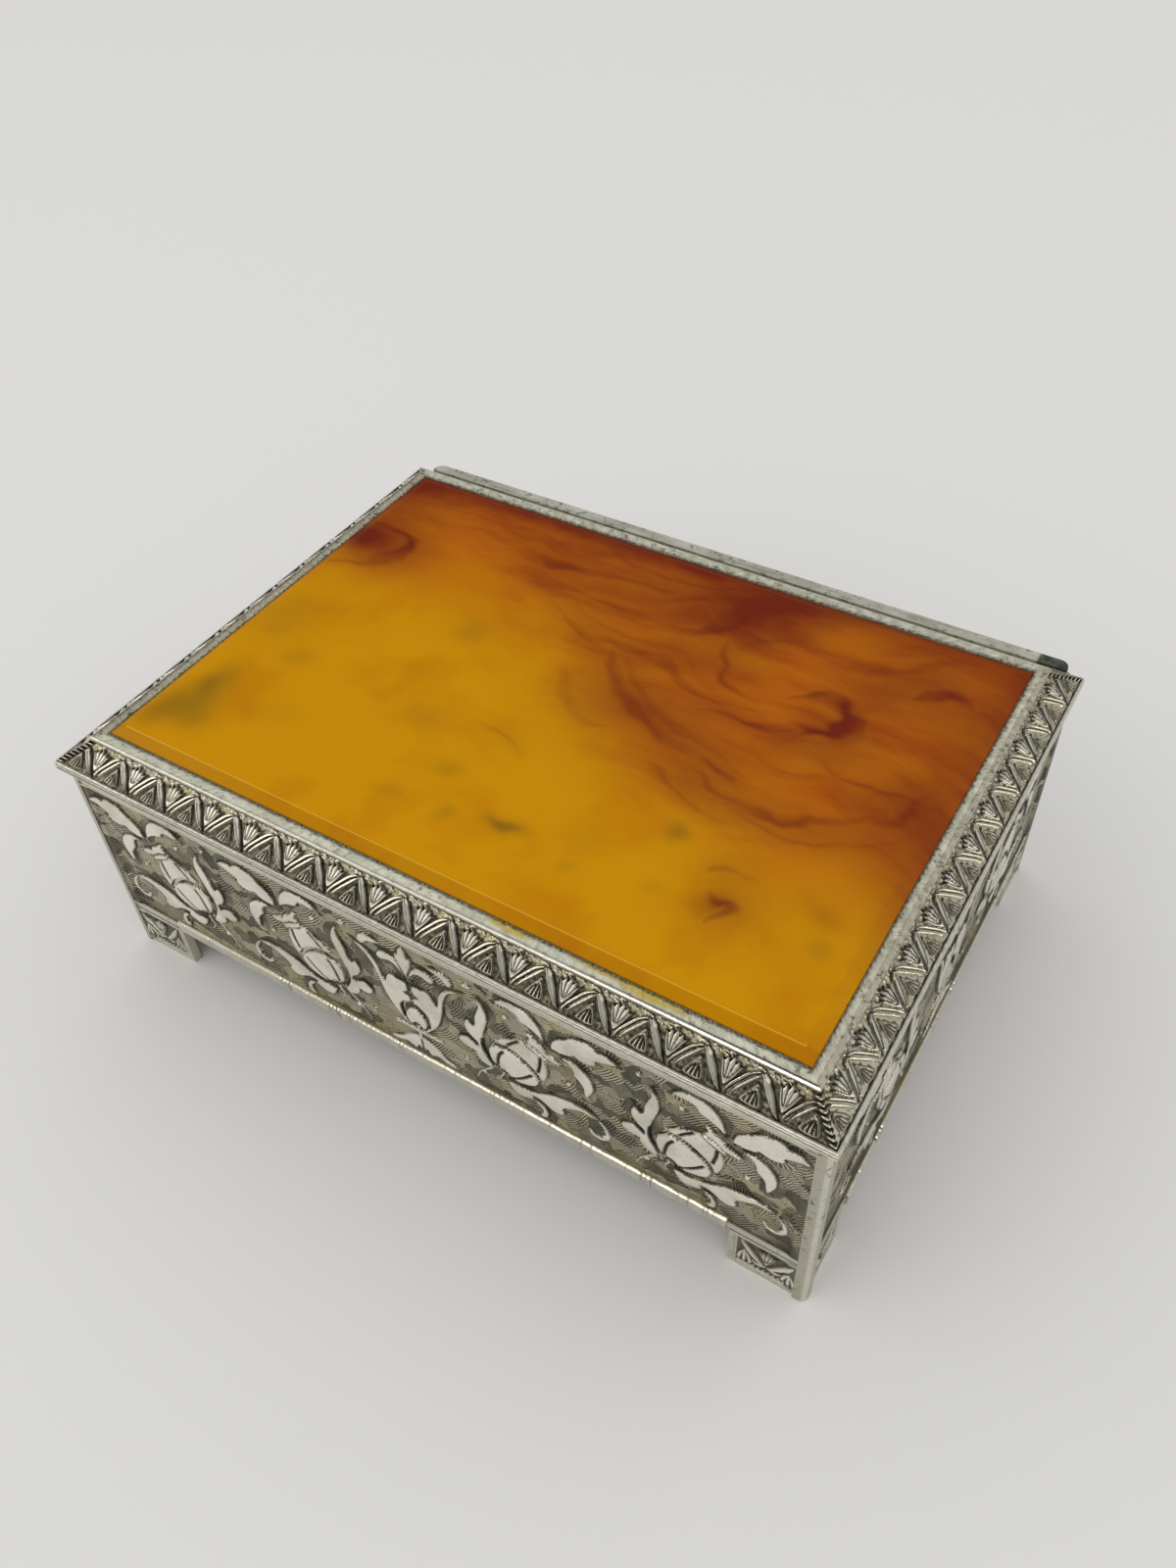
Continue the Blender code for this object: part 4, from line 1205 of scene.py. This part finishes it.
def ornament_silver(name, matte):
    """Rubbed leaves over a ground of fine hatching, dark in the hollows.

    Matte is how far the leaves look brushed. Without it, the flow mark says so, and less film lies on them.
    """
    f = Finish(name)
    place = f.place()
    tarnish, polish, shade, flow = f.marks("tarnish", "polish", "shade", "flow")
    dulled = 0.45
    if matte is None:
        dulled, matte = 0.2, 0.5 * flow
    grime = f.noise(place, 0.45, 4.0)
    fine = f.noise(place, 3.0, 3.0)
    olive = f.noise(place, 0.22, 3.0).between(0.4, 0.6)
    line = (flow * (math.tau / HATCH_PITCH) + 1.6 * fine).wave()
    hatched = line.between(-0.5, 0.3)
    worn = (hatched * (1.35 - 1.1 * shade) + 0.9 * (grime - 0.5)).clipped()
    ground = f.mix(worn, f.mix(olive, SILVER_DARK, SILVER_GREEN), f.mix(olive, SILVER_GREY, SILVER_WARM))
    ground = f.mix((shade * (1.3 - 0.75 * hatched) - 0.1).clipped(), ground, SILVER_BLACK)
    film = f.noise(place, 0.11, 3.0).between(0.42, 0.62)
    leaf = f.mix((grime * 0.5 + fine * 0.3).clipped(), SILVER_PALE, SILVER_GREY)
    leaf = f.mix(film * dulled, leaf, rgb(168, 164, 142))
    pits = f.noise(place, 2.2, 2.0).between(0.66, 0.72) * 0.5
    colour = f.mix(polish, ground, f.mix(pits, leaf, SILVER_DARK))
    dark = (tarnish * (0.7 + 0.6 * grime)).clipped()
    colour = f.mix(dark, colour, SILVER_BLACK)
    height = line * 0.05 * (1 - polish) + fine * 0.015
    shine = 1 - matte * polish * (1 - dark)
    rough = (0.42 - (0.3 - 0.15 * matte) * polish + 0.1 * (fine - 0.5)).clipped()
    return f.use(Base_Color=colour, Metallic=shine, Roughness=rough, Normal=f.bump(height))


def plain_silver(name="plain_silver", pale=rgb(222, 221, 206), grime_share=0.5, tint_and_highlight=0.0):
    """Rubbed plate with lengthwise scratches and a little dark in its dents. Its last argument gives a green
    tint and a painted highlight down a rounded corner.
    """
    f = Finish(name, Metallic=1.0)
    place = f.place()
    long_x = f.stretched(place, 0.06, 2.4, 2.4)
    long_y = f.stretched(place, 2.4, 0.06, 2.4)
    nx, ny, _ = f.axes(f.geometry("Normal"))
    faces_x = nx.maths("ABSOLUTE", nx).between(0.6, 0.8)
    scratch = f.noise(long_x, 1.6, 4.0) * (1 - faces_x) + f.noise(long_y, 1.6, 4.0) * faces_x
    spots = f.noise(place, 0.9, 5.0, 0.65)
    cloud = f.noise(place, 0.12, 3.0)
    dark = (spots.between(0.56, 0.72) * grime_share + scratch.between(0.55, 0.8) * 0.3).clipped()
    colour = f.mix(cloud, SILVER_GREY, pale)
    if tint_and_highlight:
        # Painted highlight: the colour turns pale where the normal faces out at 45 degrees, down the post's
        # rounded corner.
        corner = nx.maths("ABSOLUTE", nx * ny * 2).between(0.55, 0.95)
        colour = f.mix(corner * tint_and_highlight, f.mix(tint_and_highlight * 0.35, colour, SILVER_GREEN), SILVER_PALE)
    colour = f.mix(dark, colour, SILVER_DARK)
    height = scratch * 0.012 + spots * 0.01
    return f.use(Base_Color=colour, Roughness=(0.26 + 0.22 * scratch).clipped(), Normal=f.bump(height))


def bezel_silver():
    """Plate gone pale green, with dark green specks near the slab, cement along it and smears of glue."""
    f = Finish("bezel_verdigris")
    place = f.place()
    tarnish, polish, shade, glue = f.marks("tarnish", "polish", "shade", "flow")
    specks = f.noise(place, 1.6, 6.0, 0.7)
    cloud = f.noise(place, 0.3, 4.0)
    patches = f.noise(place, 0.35, 5.0, 0.65)
    colour = f.mix(cloud.between(0.3, 0.7), rgb(188, 190, 168), rgb(214, 213, 196))
    grubby = (shade * (0.3 + 1.1 * specks)).clipped()
    colour = f.mix(grubby * 0.85, colour, rgb(138, 126, 94))
    green = specks.between(0.53, 0.62) * patches.between(0.42, 0.62) * (0.35 + shade)
    colour = f.mix(green.clipped(), colour, rgb(52, 66, 40))
    colour = f.mix((glue * (0.5 + specks)).clipped() * 0.85, colour, rgb(186, 160, 28))
    bead = f.mix(cloud, rgb(246, 242, 236), rgb(220, 216, 204))
    bead = f.mix((shade * specks.between(0.45, 0.65)).clipped() * 0.8, bead, rgb(110, 106, 88))
    colour = f.mix(polish, colour, bead)
    colour = f.mix(tarnish, colour, rgb(40, 34, 22))
    return f.use(
        Base_Color=colour,
        Metallic=(0.15 + 0.8 * polish - 0.4 * tarnish).clipped(),
        Roughness=(0.62 - 0.38 * polish + 0.2 * tarnish).clipped(),
        Normal=f.bump(specks * 0.06 + patches * 0.05),
    )


def hinge_silver():
    """The hinge strips: dull plate, pale grey-green, with dark and green stains, and painted shade towards
    the right-hand end.
    """
    f = Finish("hinge_silver", Metallic=0.25, Roughness=0.6)
    place = f.place()
    cloud = f.noise(place, 0.16, 4.0)
    stains = f.noise(place, 0.9, 5.0, 0.65)
    streaks = f.noise(f.stretched(place, 0.08, 1.2, 1.2), 1.0, 4.0)
    colour = f.mix(cloud.between(0.3, 0.7), rgb(166, 164, 146), rgb(196, 194, 180))
    colour = f.mix(streaks.between(0.5, 0.7) * 0.5, colour, rgb(128, 128, 108))
    colour = f.mix(stains.between(0.54, 0.66) * 0.7, colour, rgb(74, 80, 60))
    # Painted shade: the strip darkens from x = 56 mm to its right-hand end, mottled by the stains.
    colour = f.mix(f.axes(place)[0].between(56.0, 56.6) * (0.45 + stains), colour, rgb(58, 62, 50))
    return f.use(Base_Color=colour, Normal=f.bump(stains * 0.05))


def amber_resin():
    """Marbled slab under a clear polish: yellow to orange, with rust swirls and smoky clouds."""
    f = Finish("marbled_amber", Roughness=0.4, Specular_IOR_Level=0.0, Coat_Roughness=0.05)
    place = f.place()
    rust, smoke, warmth = f.marks("rust", "smoke", "warmth")
    pushes = {0: f.noise(place, 0.04, 3.0, output=1), 1: (16, 16, 16), 2: place}
    drift = f.node("ShaderNodeVectorMath", {"operation": "MULTIPLY_ADD"}, pushes)
    silky = f.noise(f.stretched(drift, 0.045, 0.2, 0.1), 1.0, 5.0)
    mottle = f.noise(drift, 0.08, 3.0, 0.5)
    colour = f.mix(warmth, rgb(192, 134, 11), rgb(172, 90, 19))
    colour = f.mix(mottle.between(0.42, 0.72) * 0.55, colour, rgb(176, 108, 12))
    colour = f.mix((silky.between(0.45, 0.72) * warmth * 0.6).clipped(), colour, rgb(140, 56, 18))
    colour = f.mix(((1 - silky).between(0.5, 0.7) * warmth * 0.6).clipped(), colour, rgb(186, 106, 18))
    colour = f.mix((rust * (0.9 + 0.5 * silky)).clipped(), colour, rgb(106, 38, 22))
    colour = f.mix((smoke * (0.7 + 0.6 * mottle)).clipped(), colour, rgb(112, 86, 24))
    x, y, z = f.axes(place)
    top = f.axes(f.geometry("True Normal"))[2].between(0.97, 0.99)
    front = 1 - y.between(BEVEL_FRONT, BEVEL_FRONT + 0.4)
    below = SLAB_HIGH.z - z
    # Painted highlight: a pale line just under the top edge of the front bevel.
    arris_highlight = (1 - below.between(0.05, 0.16)) * below.between(0.01, 0.05) * front
    shaded = (1 - top) * (0.05 + 0.17 * front + 0.5 * y.between(-BEVEL_FRONT - 4, -BEVEL_FRONT - 3))
    colour = f.mix(shaded, colour, rgb(104, 44, 10))
    colour = f.mix(arris_highlight * 0.5, colour, rgb(226, 176, 60))
    # Dirt and painted shade: the foot of the slab's sides goes dark where it meets the bezel.
    dirt_and_shade = (1 - z.between(BEZEL_HIGH.z + 0.02, BEZEL_HIGH.z + 0.13)) * (0.5 + f.noise(place, 1.2, 3.0))
    colour = f.mix(dirt_and_shade.clipped() * 0.8, colour, rgb(44, 24, 8))
    return f.use(Base_Color=colour, Coat_Weight=0.06 + 0.24 * top)


def cedar(name, grain):
    """Planed cedar: long streaks along the grain, darker late wood."""
    f = Finish(name)
    place = f.place()
    scale = [0.5, 0.5, 0.5]
    scale[grain] = 0.03
    rings = f.noise(f.stretched(place, *scale), 1.0, 5.0, 0.6, distortion=0.6)
    fibre = f.noise(f.stretched(place, *[s * 8 for s in scale]), 1.0, 3.0, 0.7)
    stops = [(0.3, rgb(112, 66, 38)), (0.5, rgb(156, 98, 60)), (0.7, rgb(186, 126, 82))]
    colour = f.node("ShaderNodeValToRGB", {"stops": stops}, {0: rings * 0.75 + fibre * 0.3})
    return f.use(Base_Color=colour, Roughness=0.5 + 0.2 * fibre, Normal=f.bump(fibre * 0.05))


def sheet_metal():
    f = Finish("sheet_metal", Metallic=1.0)
    place = f.place()
    brush = f.noise(f.stretched(place, 0.05, 1.5, 1.5), 1.0, 4.0)
    stain = f.noise(place, 0.08, 4.0)
    colour = f.mix(stain, rgb(150, 140, 112), rgb(184, 178, 160))
    return f.use(Base_Color=colour, Roughness=0.35 + 0.2 * brush, Normal=f.bump(brush * 0.01))


def pin_steel():
    f = Finish("pin_steel", Metallic=1.0)
    place = f.place()
    draw = f.noise(f.stretched(place, 0.1, 6, 6), 1.0, 2.0)
    return f.use(Base_Color=f.mix(draw, rgb(120, 118, 112), rgb(170, 168, 162)), Roughness=0.3 + 0.2 * draw)


def dress_nodes(plain):
    """Gives every carried-over node its finish."""
    finishes = {}
    for finish, names in (
        (hinge_silver(), ("body_hinge_bearer", "lid_hinge_bearer")),
        (cedar("cedar_lengthwise", 0), ("liner_floor", "liner_front", "liner_back", "lid_liner")),
        (cedar("cedar_crosswise", 1), ("liner_left", "liner_right", "liner_divider")),
        (sheet_metal(), ("base_plate", "lid_backing_plate")),
        (pin_steel(), ("hinge_pin",)),
    ):
        finishes |= dict.fromkeys(names, finish)
    for name, node in NODES.items():
        node.data.materials.clear()
        node.data.materials.append(finishes.get(name, plain))


# ---- Floor, light and camera

PAPER = rgb(217, 216, 214)
DAYLIGHT = (0.97, 0.97, 0.97, 1)
ROOM_PALE, ROOM_DARK, ROOM_BRIGHT = rgb(226, 225, 221), rgb(16, 16, 15), (3.0, 2.9, 2.65, 1)
# What gloss sees of the room: the way there, the cosines between which a patch fades in, and its strength.
# The room is dark over the back and where the photographer stands
DARK_PATCHES = (
    ((-0.25, 0.45, 0.86), 0.70, 0.82, 1.0), ((0.07, -0.56, 0.83), 0.77, 0.87, 1.0),
    ((0.36, -0.53, 0.77), 0.8, 0.9, 1.0), ((0.6, 0.67, 0.43), 0.76, 0.9, 0.3),
)
BRIGHT_PATCHES = (
    ((0.96, -0.05, 0.27), 0.93, 0.96, 1.0), ((-0.86, -0.16, 0.48), 0.91, 0.95, 1.0),
    ((0.1, -0.95, 0.3), 0.95, 0.98, 1.0), ((-0.14, -0.88, 0.45), 0.93, 0.97, 0.9),
)
# Each lamp's name, place, aim, size and power
LAMPS = (
    ("window", (0.30, 0.40, 0.80), (0, 0, 0.02), 0.7, 0.14),
    ("fill", (-0.35, -0.60, 0.55), (-0.02, -0.08, 0), 0.6, 0.8),
)
# The photograph's camera: its place in metres, its turn, tilt and roll, and its lens
CAMERA_PLACE = (0.080956, -0.118753, 0.175616)
CAMERA_TURNS = (-0.593, 0.798, -0.0575)
CAMERA_LENS = 29.217


def make_floor():
    bm = bmesh.new()
    bmesh.ops.create_circle(bm, cap_ends=True, segments=96, radius=4.0)
    paper = Finish("floor_paper", Roughness=0.8, Specular_IOR_Level=0.2).use(Base_Color=PAPER)
    add_object("floor", to_mesh("floor", bm, paper))


def make_world():
    """Soft even light. The camera and gloss see a pale room low down, and gloss sees a dark one overhead."""
    sky = Finish("studio", "worlds", "Background")
    rays = ("Camera", "Glossy", "Transmission")
    camera, glossy, clear = (sky.node("ShaderNodeLightPath", None, None, f"Is {ray} Ray") for ray in rays)
    way = sky.node("ShaderNodeTexCoord", None, None, "Generated")

    def patches(places):
        shares = None
        for aim, low, high, strength in places:
            inputs = {0: way, 1: aim}
            towards = sky.node("ShaderNodeVectorMath", {"operation": "DOT_PRODUCT"}, inputs, "Value")
            share = towards.between(low, high) * strength
            shares = share if shares is None else shares.at_least(share)
        return shares

    room = sky.mix(patches(DARK_PATCHES), ROOM_PALE, ROOM_DARK)
    room = sky.mix(patches(BRIGHT_PATCHES), room, ROOM_BRIGHT)
    colour = sky.mix(glossy, DAYLIGHT, room)
    colour = sky.mix(camera.at_least(clear), colour, PAPER)
    bpy.context.scene.world = sky.use(Color=colour)


def make_lamp(name, place, aim, size, power):
    lamp = bpy.data.lights.new(name, "AREA")
    lamp.size = size
    lamp.energy = power
    holder = add_object(name, lamp)
    holder.location = place
    holder.rotation_euler = (Vector(aim) - Vector(place)).to_track_quat("-Z", "Y").to_euler()
    holder.visible_glossy = False


def make_camera():
    turn, tilt, roll = CAMERA_TURNS
    forward = Vector((math.sin(turn) * math.cos(tilt), math.cos(turn) * math.cos(tilt), -math.sin(tilt)))
    right = Vector((math.cos(turn), -math.sin(turn), 0))
    up = right.cross(forward)
    across = math.cos(roll) * right + math.sin(roll) * up
    upright = math.cos(roll) * up - math.sin(roll) * right
    camera = bpy.data.cameras.new("camera")
    camera.sensor_width = 36
    camera.lens = CAMERA_LENS
    camera.clip_start = 0.01
    camera.clip_end = 20
    holder = add_object("camera", camera)
    turned = Matrix((across, upright, -forward)).transposed().to_4x4()
    holder.matrix_world = Matrix.Translation(CAMERA_PLACE) @ turned
    bpy.context.scene.camera = holder


dress_nodes(plain_silver())
silver, moulded = ornament_silver("ornament_silver", 0.55), ornament_silver("moulding_silver", None)
make_wall_reliefs(silver)
make_mouldings(moulded)
make_lips(moulded)
make_corner_posts(plain_silver("post_silver", rgb(206, 204, 186), 0.9, 0.5))
make_foot_faces(silver)
make_bezel_faces(bezel_silver())
make_slab(amber_resin())
make_floor()
make_world()
for lamp in LAMPS:
    make_lamp(*lamp)
make_camera()
bpy.context.scene.view_settings.view_transform = "Standard"
